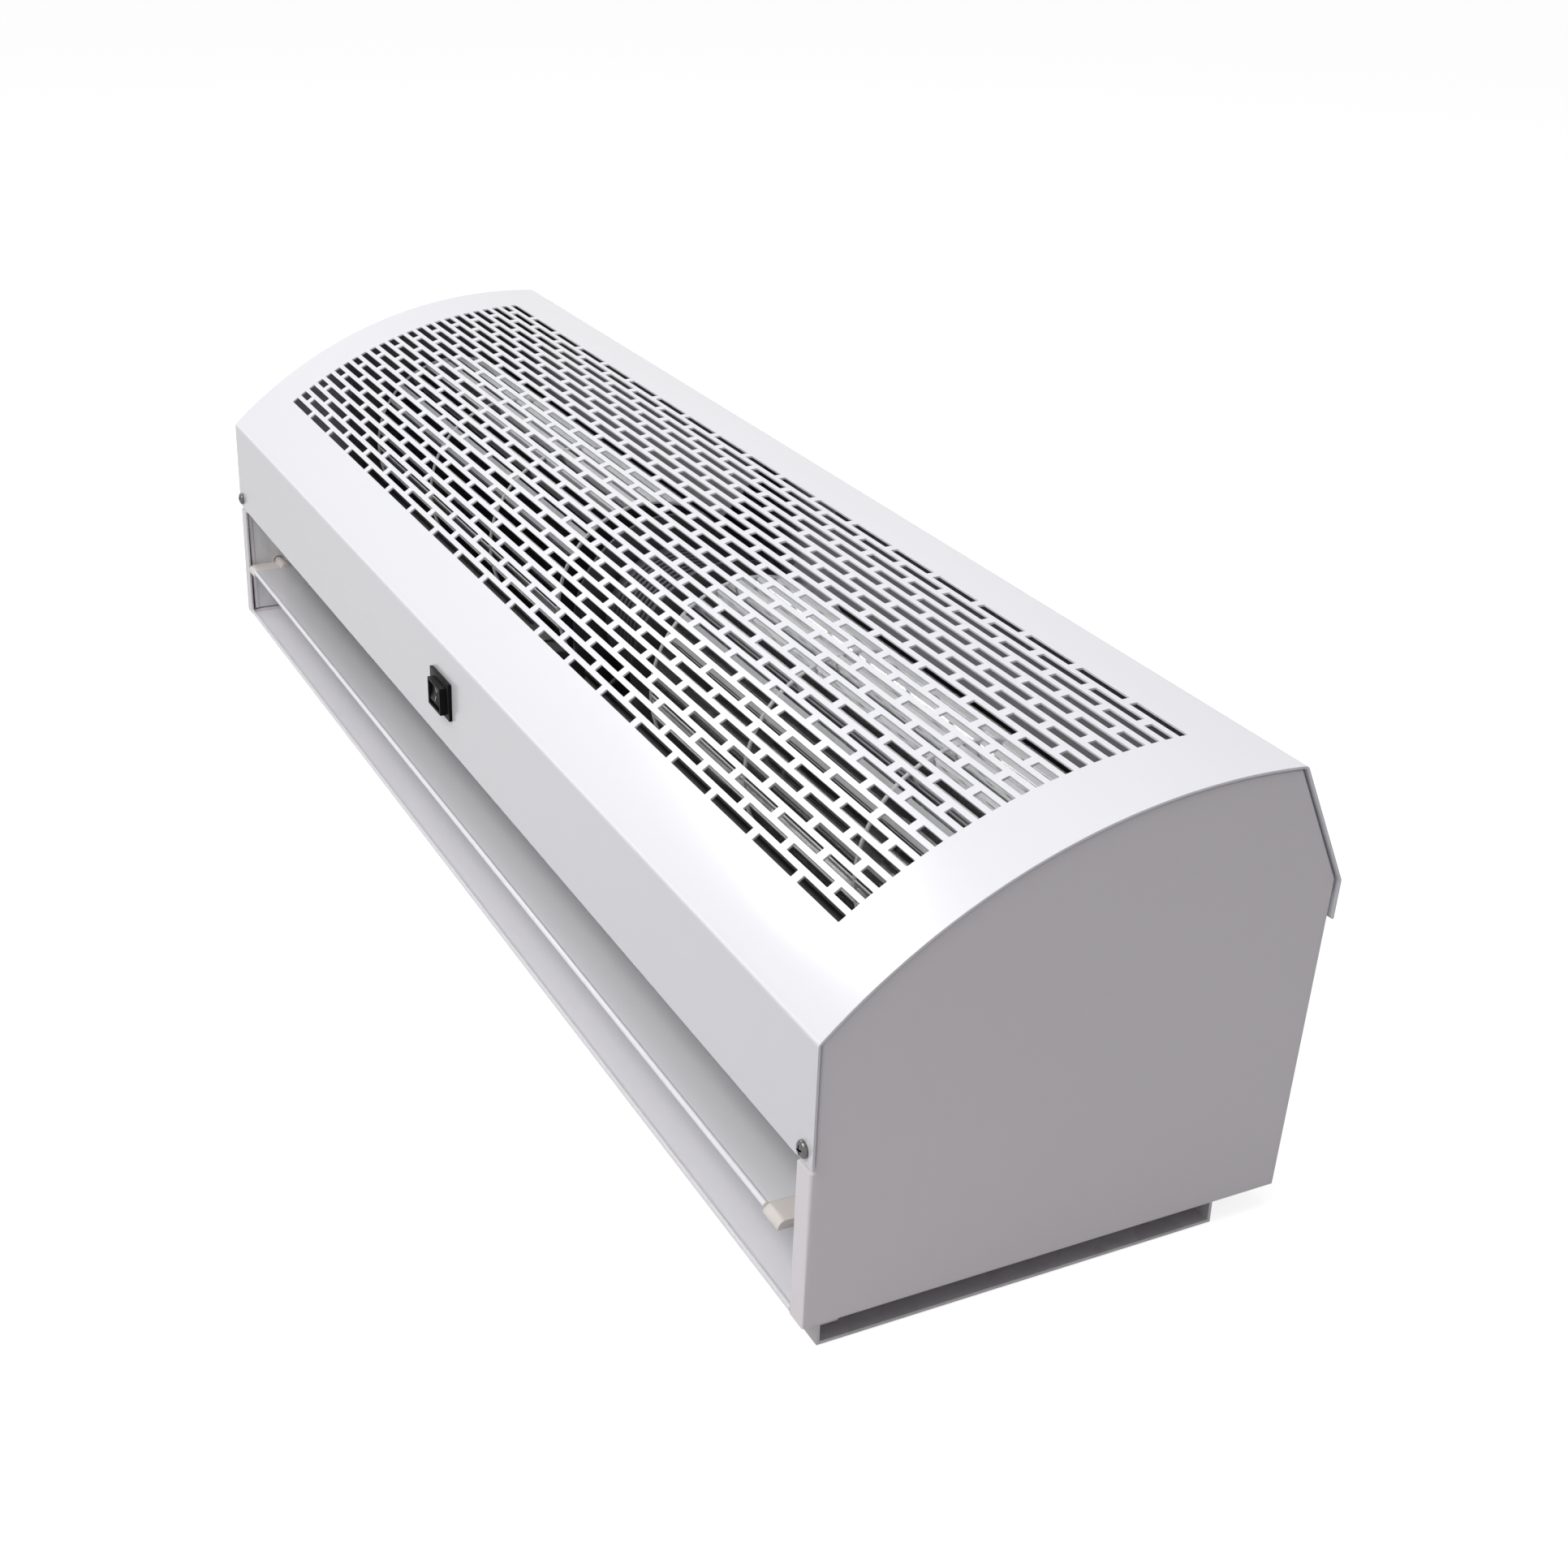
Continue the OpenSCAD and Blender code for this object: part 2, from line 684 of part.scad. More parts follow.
module bracket_screws() color("dimgray") for (s = [-1, 1], y = [-30, 30])
    at(s * (bracket_x - 7), wheel_y + y, sheet + 2) {
        cylinder(r = 4, h = 2.6, $fn = 32);
        translate([0, 0, -2]) cylinder(r = 2, h = 2, $fn = 32);
    }

// ---- electrics ----

module capacitor() color("whitesmoke") at(0, 62, 118) {
    rod_x(16, 44);
    translate([24, 0, 0]) rod_x(5, 4);
    for (z = [-3.4, 3.4]) translate([25.5, 0, z - 1.6]) cube([7, 0.8, 3.2]);
}

module capacitor_clip() color("silver") at(0, 62, 118) {
    difference() {
        rod_x(17.2, 12);
        rod_x(16, 40);
    }
    translate([-6, -3, -20.4]) cube([12, 6, 4]);
    translate([-6, 0, -21.1]) rotate([tongue_a, 0, 0]) translate([0, -12, 0]) cube([12, 24, 1.5]);
}

// block on the tongue plate's slope, with its clamping screws
module terminal_block() color("dimgray") at(-110, 50, block_z) rotate([tongue_a, 0, 0]) {
    translate([-26, -9, 0]) cube([52, 18, 12]);
    for (i = [-2:2]) translate([i * 10, 0, 12]) cylinder(r = 3, h = 2, $fn = 32);
}

// a lead through the given points, as straight runs that overlap a little at each bend
module lead(points, r) {
    for (i = [0:len(points) - 2]) {
        v = points[i + 1] - points[i];
        translate(points[i] - lead_lap * unit(v)) rotate([0, acos(v[2] / norm(v)), atan2(v[1], v[0])])
            rotate(i * 7) cylinder(r = r, h = norm(v) + 2 * lead_lap, $fn = 10);
    }
}

// leads in the channel behind the switch, from block to switch, capacitor and motor
module wiring() color("darkred") at(0, 0, 0) {
    lead([[-8, 36, 116], [-18, 43, 122], [-70, 44, 124], [-90, 46, 118], [-90, 46, 108.4]], lead_r);
    lead([[0, 36, 116], [-14, 42, 128], [-78, 52, 129], [-100, 46, 120], [-100, 46, 108.4]], lead_r);
    lead([[8, 36, 116], [20, 43, 126], [34, 56, 130], [34.5, 62, 122.5]], lead_r);
    lead([[34.5, 62, 113.5], [38, 76, 107], [30, 92, 114], [16, 111, 118]], lead_r);
}

module cable_grommet() color("#303030")
    at(grommet_x, rear_y(grommet_z) - pan_inset - sheet / 2, grommet_z)
    rotate([-rear_lean, 0, 0]) difference() {
        union() {
            translate([0, -4, 0]) rod_y(grommet_r - 0.1, 8);
            translate([0, -3.6, 0]) rod_y(grommet_r + 3, 2.6);
            translate([0, 1, 0]) rod_y(grommet_r + 3, 2.6);
        }
        translate([0, -10, 0]) rod_y(6, 20);
    }

// a block w wide and h high about the height z, from depth y over length l
module block(w, h, z, y, l) {
    at(-w / 2, y, z - h / 2) cube([w, l, h]);
}

// bezel, the raised collar round the rocker, the body behind the panel and the pivot pins
module switch_housing() color("#202020") {
    face = front_y(switch_z);
    difference() {
        union() {
            block(switch_w, switch_h, switch_z, face - bezel_out, bezel_out - 0.17);
            block(collar_w, collar_h, collar_z, face - collar_out, collar_out);
            block(switch_body_w, switch_body_h, switch_z, face, switch_body_l);
        }
        block(collar_w - 2 * collar_t, collar_h - 2 * collar_t, collar_z, face - collar_out - 1, 20);
    }
    for (s = [-1, 1]) at(s * (rocker_w / 2 - 0.85), face + rocker_sink, collar_z) rod_x(1.2, 3.3, 32);
}

// rocker with two faces in a shallow V, its upper half pressed in, bored for the pins
module switch_rocker() color("#181818") {
    out = rocker_sink + rocker_out;
    half = rocker_h / 2;
    rise = half * tan(rocker_tilt);
    at(0, front_y(switch_z) + rocker_sink, collar_z) rotate([-rocker_tilt, 0, 0]) difference() {
        translate([-rocker_w / 2, 0, 0]) rotate([90, 0, 90]) linear_extrude(rocker_w)
            polygon([[-out, 0], [-out - rise, half], [2, half - 1.5], [5, 2], [5, -2],
                [2, -half + 1.5], [-out - rise, -half]]);
        for (s = [-1, 1]) translate([s * (rocker_w / 2 - 1), 0, 0]) rod_x(1.25, 3.6, 32);
    }
}

module switch_terminals() color("gold") for (x = [-8, 0, 8], z = [-5, 5])
    at(x - 2.4, front_y(switch_z) + switch_body_l, switch_z + z - 0.4) cube([4.8, 8, 0.8]);

// ---- outlet vane ----

module vane_blade() color("gainsboro") {
    nose = vane_y - vane_chord / 2;
    along_x(vane_x - cap_x0, 2 * cap_x0) {
        translate([nose, vane_z - blade_thick / 2]) square([vane_chord, blade_thick]);
        translate([nose, vane_z]) circle(r = 1.5, $fn = 32);
    }
}

// moulded end of the vane: a nose rounded on top and flat below, and the pin that it turns on
module vane_cap(side) color("ivory") on_side(side) {
    nose = vane_y - vane_chord / 2;
    tail = vane_y + vane_chord / 2;
    top = vane_z + blade_thick / 2;
    x0 = -side * vane_x - cap_x0 - cap_l;
    along_x(x0, cap_l) {
        hull() {
            intersection() {
                translate([nose + cap_nose_r - 1.5, top - cap_nose_r]) circle(r = cap_nose_r, $fn = 64);
                translate([nose - 3, vane_z - cap_drop]) square([8, 10]);
            }
            translate([nose + 14, top - 1.6]) circle(r = 1.6, $fn = 32);
        }
        hull() {
            translate([nose + 14, top - 1.6]) circle(r = 1.6, $fn = 32);
            translate([tail - 1, vane_z]) circle(r = blade_thick / 2, $fn = 32);
        }
        translate([vane_y, vane_z]) circle(r = pin_r + 0.6, $fn = 32);
    }
    at((x0 - pin_end) / 2, vane_y, vane_z) rod_x(pin_r, pin_end + x0 + 0.2, 48);
}

// plastic block fixed inside an end plate, which the vane's pin turns in
module vane_pivot(side) color("ivory") on_side(side) {
    x0 = -end_x + sheet;
    difference() {
        at(x0 + pivot_block_l / 2, vane_y, vane_z) union() {
            rod_x(6, pivot_block_l);
            translate([-pivot_block_l / 2 + 1, 0, 0]) cube([2, 28, 14], center = true);
        }
        at(x0 + pivot_block_l / 2 + 1, vane_y, vane_z) rod_x(pin_r + run_gap, pivot_block_l, 48);
        for (y = [-10, 10]) at(x0, vane_y + y, vane_z) rod_x(1.6, 10, 24);
    }
}

front_cover();
base_pan();
rear_wall();
end_plate(-1);  // end_plate_left
end_plate(1);  // end_plate_right
wall_plate();
hanger_cleat();
lock_rail();
lock_screws();
cover_screws();
pan_rivets();
scroll(-1);  // scroll_left
scroll(1);  // scroll_right
tongue_plate();
duct_cheek(-1);  // duct_cheek_left
duct_cheek(1);  // duct_cheek_right
bearing_plate(-1);  // bearing_plate_left
bearing_plate(1);  // bearing_plate_right
bearing_seat(-1);  // bearing_seat_left
bearing_seat(1);  // bearing_seat_right
bearing(-1);  // bearing_left
bearing(1);  // bearing_right
impeller(-1);  // impeller_left
impeller(1);  // impeller_right
hub(-1);  // hub_left
hub(1);  // hub_right
hub_screws();
stub_shaft(-1);  // stub_shaft_left
stub_shaft(1);  // stub_shaft_right
motor_shaft();
motor_rotor();
motor_housing();
motor_end_bell();
motor_damper(-1);  // motor_damper_left
motor_damper(1);  // motor_damper_right
motor_bracket(-1);  // motor_bracket_left
motor_bracket(1);  // motor_bracket_right
motor_tie_bolts();
bracket_screws();
bay_panel();
capacitor();
capacitor_clip();
terminal_block();
wiring();
cable_grommet();
switch_housing();
switch_rocker();
switch_terminals();
vane_blade();
vane_cap(-1);  // vane_cap_left
vane_cap(1);  // vane_cap_right
vane_pivot(-1);  // vane_pivot_left
vane_pivot(1);  // vane_pivot_right
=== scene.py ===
# %% [markdown]
# # A door air curtain
# A long sheet-metal fan unit that hangs over a doorway: a folded and slotted cover, two end plates, a
# pan, a pair of cross-flow wheels, a guide vane in the outlet and a rocker switch. The solids come from
# the CAD frame. This script dresses them: it rebuilds the pieces whose folds, punched slots and rounded
# edges catch the light, and gives every solid a finish of its own.

# %% The frame
import json
import math

import bmesh
import bpy
from mathutils import Matrix, Vector


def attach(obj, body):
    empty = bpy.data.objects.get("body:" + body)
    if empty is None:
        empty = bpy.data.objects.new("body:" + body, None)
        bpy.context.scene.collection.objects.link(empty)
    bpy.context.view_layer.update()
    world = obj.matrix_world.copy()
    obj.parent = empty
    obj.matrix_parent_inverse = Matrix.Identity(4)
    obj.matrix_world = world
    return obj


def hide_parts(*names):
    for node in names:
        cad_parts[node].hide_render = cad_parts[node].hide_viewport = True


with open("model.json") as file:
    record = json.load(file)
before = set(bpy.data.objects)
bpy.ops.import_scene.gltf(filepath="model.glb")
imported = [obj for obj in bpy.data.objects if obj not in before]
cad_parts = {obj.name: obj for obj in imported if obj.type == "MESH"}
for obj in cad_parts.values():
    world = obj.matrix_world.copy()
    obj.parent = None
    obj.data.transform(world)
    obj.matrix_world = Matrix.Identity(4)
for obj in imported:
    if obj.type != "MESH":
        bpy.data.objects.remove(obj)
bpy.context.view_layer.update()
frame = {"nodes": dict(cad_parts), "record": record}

MM = 0.001
scene = bpy.context.scene
scene.view_settings.view_transform = "Standard"


def linked(name, data):
    """A new object in the scene."""
    made = bpy.data.objects.new(name, data)
    scene.collection.objects.link(made)
    return made


# %% [markdown]
# ## The camera
# A photograph fixes where the camera stood. The corners of the body were matched to the picture
# beforehand, which gives the place of the eye, the point that it looks at and a slight roll. The same
# three values set the camera here, so the render can be laid over the photograph.

# %% Camera
eye = Vector((1.0955, -0.4622, 0.6195))
looks_at = Vector((0.0565, 0.0780, 0.0551))
up_hint = Vector((-0.3985, 0.1744, 0.9004))
forward = (looks_at - eye).normalized()
side = forward.cross(up_hint).normalized()
camera = linked("camera", bpy.data.cameras.new("camera"))
camera.data.lens = 51.04
camera.data.sensor_width = 36.0
turn = Matrix((side, side.cross(forward), -forward)).transposed().to_4x4()
camera.matrix_world = Matrix.Translation(eye) @ turn
scene.camera = camera
print("camera", [round(v, 3) for v in eye])

# %% [markdown]
# ## Building node trees from code
# Every finish and every repeating piece is a tree of nodes. Two small helpers keep the trees short: one
# adds a node and fills its sockets, with a number or with another node's output, and one wraps a tree as
# a group with named inputs and outputs, so that the same effect can serve several finishes.

# %% Helpers for node trees
def add(tree, kind, inputs=None, **settings):
    node = tree.nodes.new(kind)
    for key, value in settings.items():
        setattr(node, key, value)
    for key, value in (inputs or {}).items():
        if isinstance(value, bpy.types.NodeSocket):
            tree.links.new(value, node.inputs[key])
        else:
            node.inputs[key].default_value = value
    return node


def calc(tree, operation, *values):
    node = add(tree, "ShaderNodeMath", dict(enumerate(values)), operation=operation)
    return node.outputs[0]


def times(tree, one, two):
    return calc(tree, "MULTIPLY", one, two)


def minus(tree, one, two):
    return calc(tree, "SUBTRACT", one, two)


def numbers(**values):
    """Number sockets for a group; an underscore stands for a space in the label."""
    return [(label.replace("_", " "), "Float", value) for label, value in values.items()]


def open_group(name, kind, inputs, outputs):
    tree = bpy.data.node_groups.new(name, kind)
    for label, socket, value in inputs:
        made = tree.interface.new_socket(label, in_out="INPUT", socket_type="NodeSocket" + socket)
        if value is not None:
            made.default_value = value
    for label, socket in outputs:
        tree.interface.new_socket(label, in_out="OUTPUT", socket_type="NodeSocket" + socket)
    return tree, tree.nodes.new("NodeGroupInput").outputs, tree.nodes.new("NodeGroupOutput")


def close_group(tree, output_node, values):
    for label, value in values.items():
        tree.links.new(value, output_node.inputs[label])
    print("group", tree.name, len(tree.nodes), "nodes")
    return tree


def realized(tree, geometry, finish):
    """Turns copies into one mesh that wears the finish."""
    real = add(tree, "GeometryNodeRealizeInstances", {0: geometry})
    made = add(tree, "GeometryNodeSetMaterial", {"Geometry": real.outputs[0], "Material": finish})
    return made.outputs[0]


# %% [markdown]
# ## The white room
# The photograph has a plain white ground. The world is white to the camera and to reflections, by way of
# the Light Path node, and dimmer as a light, so that the lamps shape the object. The floor is pale, is
# lifted to white for the camera, and keeps the soft shadow under the unit.

# %% World
WHITE = (1.0, 1.0, 1.0, 1.0)
world = bpy.data.worlds.new("studio")
world.use_nodes = True
scene.world = world
tree = world.node_tree
tree.nodes.clear()
path = add(tree, "ShaderNodeLightPath").outputs
seen = calc(tree, "MAXIMUM", path["Is Camera Ray"],
            calc(tree, "MAXIMUM", path["Is Glossy Ray"], path["Is Transmission Ray"]))
dim = add(tree, "ShaderNodeBackground", {"Color": (0.97, 0.97, 1.0, 1.0), "Strength": 0.355})
plain = add(tree, "ShaderNodeBackground", {"Color": WHITE, "Strength": 1.0})
mixed = add(tree, "ShaderNodeMixShader", {0: seen, 1: dim.outputs[0], 2: plain.outputs[0]})
add(tree, "ShaderNodeOutputWorld", {"Surface": mixed.outputs[0]})
print("world set")

# %% Floor
FLOOR_HALF, FLOOR_Z = 9.0, -0.0004         # metres; just under the wall plate
FLOOR_LIFT = 0.8                 # what the camera sees added to the lit floor
MIRRORED_SHARE = 0.55            # how much of that a reflection sees
floor_mesh = bpy.data.meshes.new("floor")
square = ((-1, -1), (1, -1), (1, 1), (-1, 1))
floor_mesh.from_pydata([(x * FLOOR_HALF, y * FLOOR_HALF, 0) for x, y in square], [], [(0, 1, 2, 3)])
floor = linked("floor", floor_mesh)
floor.location.z = FLOOR_Z
pale = bpy.data.materials.new("floor")
pale.use_nodes = True
tree = pale.node_tree
tree.nodes.clear()
path = add(tree, "ShaderNodeLightPath").outputs
mirrored = calc(tree, "MAXIMUM", path["Is Glossy Ray"], path["Is Transmission Ray"])
mirrored = times(tree, mirrored, MIRRORED_SHARE)
seen = calc(tree, "MAXIMUM", path["Is Camera Ray"], mirrored)
lit = add(tree, "ShaderNodeBsdfDiffuse", {"Color": (0.50, 0.495, 0.50, 1.0)})
strength = times(tree, seen, FLOOR_LIFT)
lift = add(tree, "ShaderNodeEmission", {"Color": WHITE, "Strength": strength})
both = add(tree, "ShaderNodeAddShader", {0: lit.outputs[0], 1: lift.outputs[0]})
add(tree, "ShaderNodeOutputMaterial", {"Surface": both.outputs[0]})
floor_mesh.materials.append(pale)
print("floor set")

# %% Lamps
def softbox(name, place, target, width, height, watts):
    lamp = bpy.data.lights.new(name, "AREA")
    lamp.shape = "RECTANGLE"
    lamp.size = width
    lamp.size_y = height
    lamp.energy = watts
    aim = (Vector(target) - Vector(place)).to_track_quat("-Z", "Y")
    linked(name, lamp).matrix_world = Matrix.Translation(place) @ aim.to_matrix().to_4x4()


softbox("key_light", (0.35, -1.3, 1.6), (0.1, 0, 0.1), 1.2, 1.1, 20.0)
softbox("top_light", (0.35, 0.1, 2.0), (0.1, 0, 0.1), 1.1, 1.1, 6.4)
softbox("side_light", (-1.42, -0.55, 1.45), (0.15, 0.0, 0.15), 0.9, 0.45, 6.2)
print("lamps set")

# %% [markdown]
# ## Effects that several finishes share
# Painted sheet is never one flat colour: its tone drifts a little over a panel, it has a faint orange
# peel, and a speck of dust or a pinhole shows here and there. A thin line along a fold gets a lifted
# colour, a painted highlight, and the colour below the fold is darker, a painted shade. These effects are
# one group. Bare sheet and turned metal get a group with fine lines along the unit and a soft mottle of
# spangles. The wheels wrap that group and make the rolled rims dull; the rims and the blade tips are
# also paler, a painted highlight. Moulded plastic and rubber get a group with a fine grain. All read
# Object coordinates, in metres.

# %% Group: painted sheet
def drift(tree, coords, scale, detail=2.0):
    noise = add(tree, "ShaderNodeTexNoise", {"Vector": coords, "Scale": scale, "Detail": detail})
    return noise.outputs["Fac"]


def around(tree, value, amount, middle=1.0):
    """value runs from 0 to 1 about a half; the result lies within amount of the middle."""
    swing = times(tree, amount, 2.0)
    return calc(tree, "MULTIPLY_ADD", minus(tree, value, 0.5), swing, middle)


def shade(tree, colour, factor):
    """colour times a factor."""
    node = add(tree, "ShaderNodeVectorMath", operation="SCALE")
    tree.links.new(colour, node.inputs[0])
    tree.links.new(factor, node.inputs["Scale"])
    return node.outputs[0]


def off_axis(tree, coords, centre):
    """Distance from a line along X through the centre."""
    arm = add(tree, "ShaderNodeVectorMath", {0: coords, 1: centre}, operation="SUBTRACT").outputs[0]
    arm = add(tree, "ShaderNodeVectorMath", {0: arm, 1: (0, 1, 1)}, operation="MULTIPLY").outputs[0]
    return add(tree, "ShaderNodeVectorMath", {0: arm}, operation="LENGTH").outputs["Value"]


tree, given, result = open_group(
    "painted sheet", "ShaderNodeTree",
    [("Colour", "Color", (0.8, 0.8, 0.8, 1)),
     *numbers(Drift=0.02, Roughness=0.3, Peel_depth=0.000012, Peel_size=420.0, Specks=0.0),
     ("Fold", "Vector", (0, 9, -9)), *numbers(Fold_width=0.0016, Fold_lift=0.0, Below_fold=1.0)],
    [("Colour", "Color"), ("Roughness", "Float"), ("Normal", "Vector")])
coords = add(tree, "ShaderNodeTexCoord").outputs["Object"]
cells = add(tree, "ShaderNodeTexVoronoi", {"Vector": coords, "Scale": 26.0, "Randomness": 1.0})
near = calc(tree, "LESS_THAN", cells.outputs["Distance"], 0.014)
rare = calc(tree, "GREATER_THAN",
            add(tree, "ShaderNodeSeparateColor", {"Color": cells.outputs["Color"]}).outputs[0], 0.86)
speck = times(tree, times(tree, near, rare), given["Specks"])
tone = around(tree, drift(tree, coords, 3.5), given["Drift"])
tone = times(tree, tone, minus(tree, 1.0, speck))
# A thin line along the fold gets a lifted colour: a painted highlight.
fold_highlight_mask = add(tree, "ShaderNodeMapRange", {
    "Value": off_axis(tree, coords, given["Fold"]), "From Max": given["Fold width"], "To Min": 1.0,
    "To Max": 0.0}).outputs[0]
tone = times(tree, tone, calc(tree, "MULTIPLY_ADD", fold_highlight_mask, given["Fold lift"], 1.0))
# Below the fold the colour is darkened: painted shade on the front strip.
heights = [add(tree, "ShaderNodeSeparateXYZ", {0: spot}).outputs["Z"] for spot in (coords, given["Fold"])]
lower = calc(tree, "LESS_THAN", *heights)
painted_shade_step = minus(tree, given["Below fold"], 1.0)
tone = times(tree, tone, calc(tree, "MULTIPLY_ADD", lower, painted_shade_step, 1.0))
gloss = around(tree, drift(tree, coords, 40.0), 0.05, given["Roughness"])
peel = add(tree, "ShaderNodeBump", {"Height": drift(tree, coords, given["Peel size"], 1.0),
                                    "Distance": given["Peel depth"], "Strength": 1.0})
painted_sheet = close_group(tree, result, {"Colour": shade(tree, given["Colour"], tone),
                                           "Roughness": gloss, "Normal": peel.outputs[0]})

# %% Group: bare metal
tree, given, result = open_group(
    "bare metal", "ShaderNodeTree",
    [("Colour", "Color", (0.5, 0.5, 0.5, 1)),
     *numbers(Mottle=0.1, Roughness=0.35, Spangle_size=90.0, Line_depth=0.00001, Roughness_drift=0.08)],
    [("Colour", "Color"), ("Roughness", "Float"), ("Normal", "Vector")])
coords = add(tree, "ShaderNodeTexCoord").outputs["Object"]
long_way = add(tree, "ShaderNodeMapping", {"Vector": coords, "Scale": (6.0, 500.0, 500.0)}).outputs[0]
lines = drift(tree, long_way, 1.0, 2.0)
spangle = add(tree, "ShaderNodeTexVoronoi", {"Vector": coords, "Scale": given["Spangle size"]})
grey = add(tree, "ShaderNodeSeparateColor", {"Color": spangle.outputs["Color"]}).outputs[0]
blend = times(tree, calc(tree, "ADD", grey, drift(tree, coords, 9.0)), 0.5)
tone = around(tree, blend, given["Mottle"])
bump = add(tree, "ShaderNodeBump", {"Height": lines, "Distance": given["Line depth"], "Strength": 1.0})
bare_metal = close_group(tree, result, {
    "Colour": shade(tree, given["Colour"], tone), "Normal": bump.outputs[0],
    "Roughness": around(tree, lines, given["Roughness drift"], given["Roughness"])})

# %% Group: wheel metal
BLADE_METALLIC = 0.95
tree, given, result = open_group(
    "wheel metal", "ShaderNodeTree",
    [("Colour", "Color", (0.5, 0.5, 0.5, 1)), ("Rim colour", "Color", (0.5, 0.5, 0.5, 1)),
     *numbers(Roughness=0.12, Rim_roughness=0.45, Rim_radius=0.05), ("Axis", "Vector", (0, 0, 0))],
    [("Colour", "Color"), ("Roughness", "Float"), ("Normal", "Vector"), ("Metallic", "Float")])
coords = add(tree, "ShaderNodeTexCoord").outputs["Object"]
# Beyond the rim radius lie the rolled rims and the blade tips: they are rougher and not metallic, and their
# paler colour is a painted highlight.
on_rim = calc(tree, "GREATER_THAN", off_axis(tree, coords, given["Axis"]), given["Rim radius"])
RGBA_A, RGBA_B, RGBA_OUT = 6, 7, 2        # the colour sockets of a Mix node
colour = add(tree, "ShaderNodeMix", {0: on_rim, RGBA_A: given["Colour"], RGBA_B: given["Rim colour"]},
             data_type="RGBA")
step_up = minus(tree, given["Rim roughness"], given["Roughness"])
rough = calc(tree, "MULTIPLY_ADD", on_rim, step_up, given["Roughness"])
metal = add(tree, "ShaderNodeGroup", node_tree=bare_metal)
for label, value in {"Mottle": 0.08, "Spangle size": 30.0, "Roughness drift": 0.03}.items():
    metal.inputs[label].default_value = value
tree.links.new(colour.outputs[RGBA_OUT], metal.inputs["Colour"])
tree.links.new(rough, metal.inputs["Roughness"])
wheel_metal = close_group(tree, result, {
    "Metallic": calc(tree, "MULTIPLY_ADD", on_rim, -BLADE_METALLIC, BLADE_METALLIC),
    **{label: metal.outputs[label] for label in ("Colour", "Roughness", "Normal")}})

# %% Group: moulded grain
tree, given, result = open_group(
    "moulded grain", "ShaderNodeTree",
    [("Colour", "Color", (0.1, 0.1, 0.1, 1)),
     *numbers(Drift=0.06, Roughness=0.45, Grain_size=1500.0, Grain_depth=0.00002)],
    [("Colour", "Color"), ("Roughness", "Float"), ("Normal", "Vector")])
coords = add(tree, "ShaderNodeTexCoord").outputs["Object"]
grain = drift(tree, coords, given["Grain size"], 2.0)
tone = around(tree, drift(tree, coords, 30.0), given["Drift"])
bump = add(tree, "ShaderNodeBump", {"Height": grain, "Distance": given["Grain depth"], "Strength": 1.0})
moulded_grain = close_group(tree, result, {
    "Colour": shade(tree, given["Colour"], tone), "Roughness": around(tree, grain, 0.07, given["Roughness"]),
    "Normal": bump.outputs[0]})

# %% [markdown]
# ## The finishes
# One function lays a group's colour, roughness and normal on a Principled shader. What stays the same
# all over a surface, such as its metalness, coat and refractive index, is set on the shader itself.

# %% Finishes
def finish(name, group, values, **shader):
    made = bpy.data.materials.new(name)
    made.use_nodes = True
    tree = made.node_tree
    tree.nodes.clear()
    effect = add(tree, "ShaderNodeGroup", node_tree=group)
    for label, value in values.items():
        effect.inputs[label].default_value = value
    settings = {label.replace("_", " "): value for label, value in shader.items()}
    settings["Base Color"] = effect.outputs["Colour"]
    for label in ("Roughness", "Normal", "Metallic"):
        if label in effect.outputs:
            settings[label] = effect.outputs[label]
    surface = add(tree, "ShaderNodeBsdfPrincipled", settings)
    add(tree, "ShaderNodeOutputMaterial", {"Surface": surface.outputs[0]})
    return made


def rgb(red, green, blue):
    return (red, green, blue, 1.0)


def metal(name, colour, mottle, roughness, spangle, metallic=1.0, more=None):
    values = {"Colour": rgb(*colour), "Mottle": mottle, "Roughness": roughness, "Spangle size": spangle}
    return finish(name, bare_metal, {**values, **(more or {})}, Metallic=metallic)


COVER_FOLD = (0.0, -0.108, 0.152)          # the crease between the front strip and the arch
WHEEL_AXIS = (0.0, 0.047, 0.133)
RIM_FROM = 0.0585                          # what lies farther from the axis is a rolled rim
# The cover's crease gets a painted highlight, and the front strip below it a painted shade.
cover_enamel = finish("cover enamel", painted_sheet,
                      {"Colour": rgb(0.84, 0.84, 0.87), "Drift": 0.012, "Roughness": 0.22,
                       "Fold": COVER_FOLD, "Fold width": 0.0016, "Fold lift": 0.12, "Below fold": 0.89},
                      Coat_Weight=0.35, Coat_Roughness=0.12)
lilac_enamel = finish("lilac grey enamel", painted_sheet,
                      {"Colour": rgb(0.80, 0.765, 0.79), "Drift": 0.02, "Roughness": 0.34, "Specks": 0.45},
                      Coat_Weight=0.15, Coat_Roughness=0.2)
# The inner zinc sheet is far darker than the plate zinc, so that the wheel bay reads dark: painted shade.
zinc_sheet = metal("zinc sheet", (0.14, 0.14, 0.142), 0.16, 0.45, 95.0, 0.85)
plate_zinc = metal("plate zinc", (0.56, 0.54, 0.55), 0.12, 0.5, 80.0, 0.35)
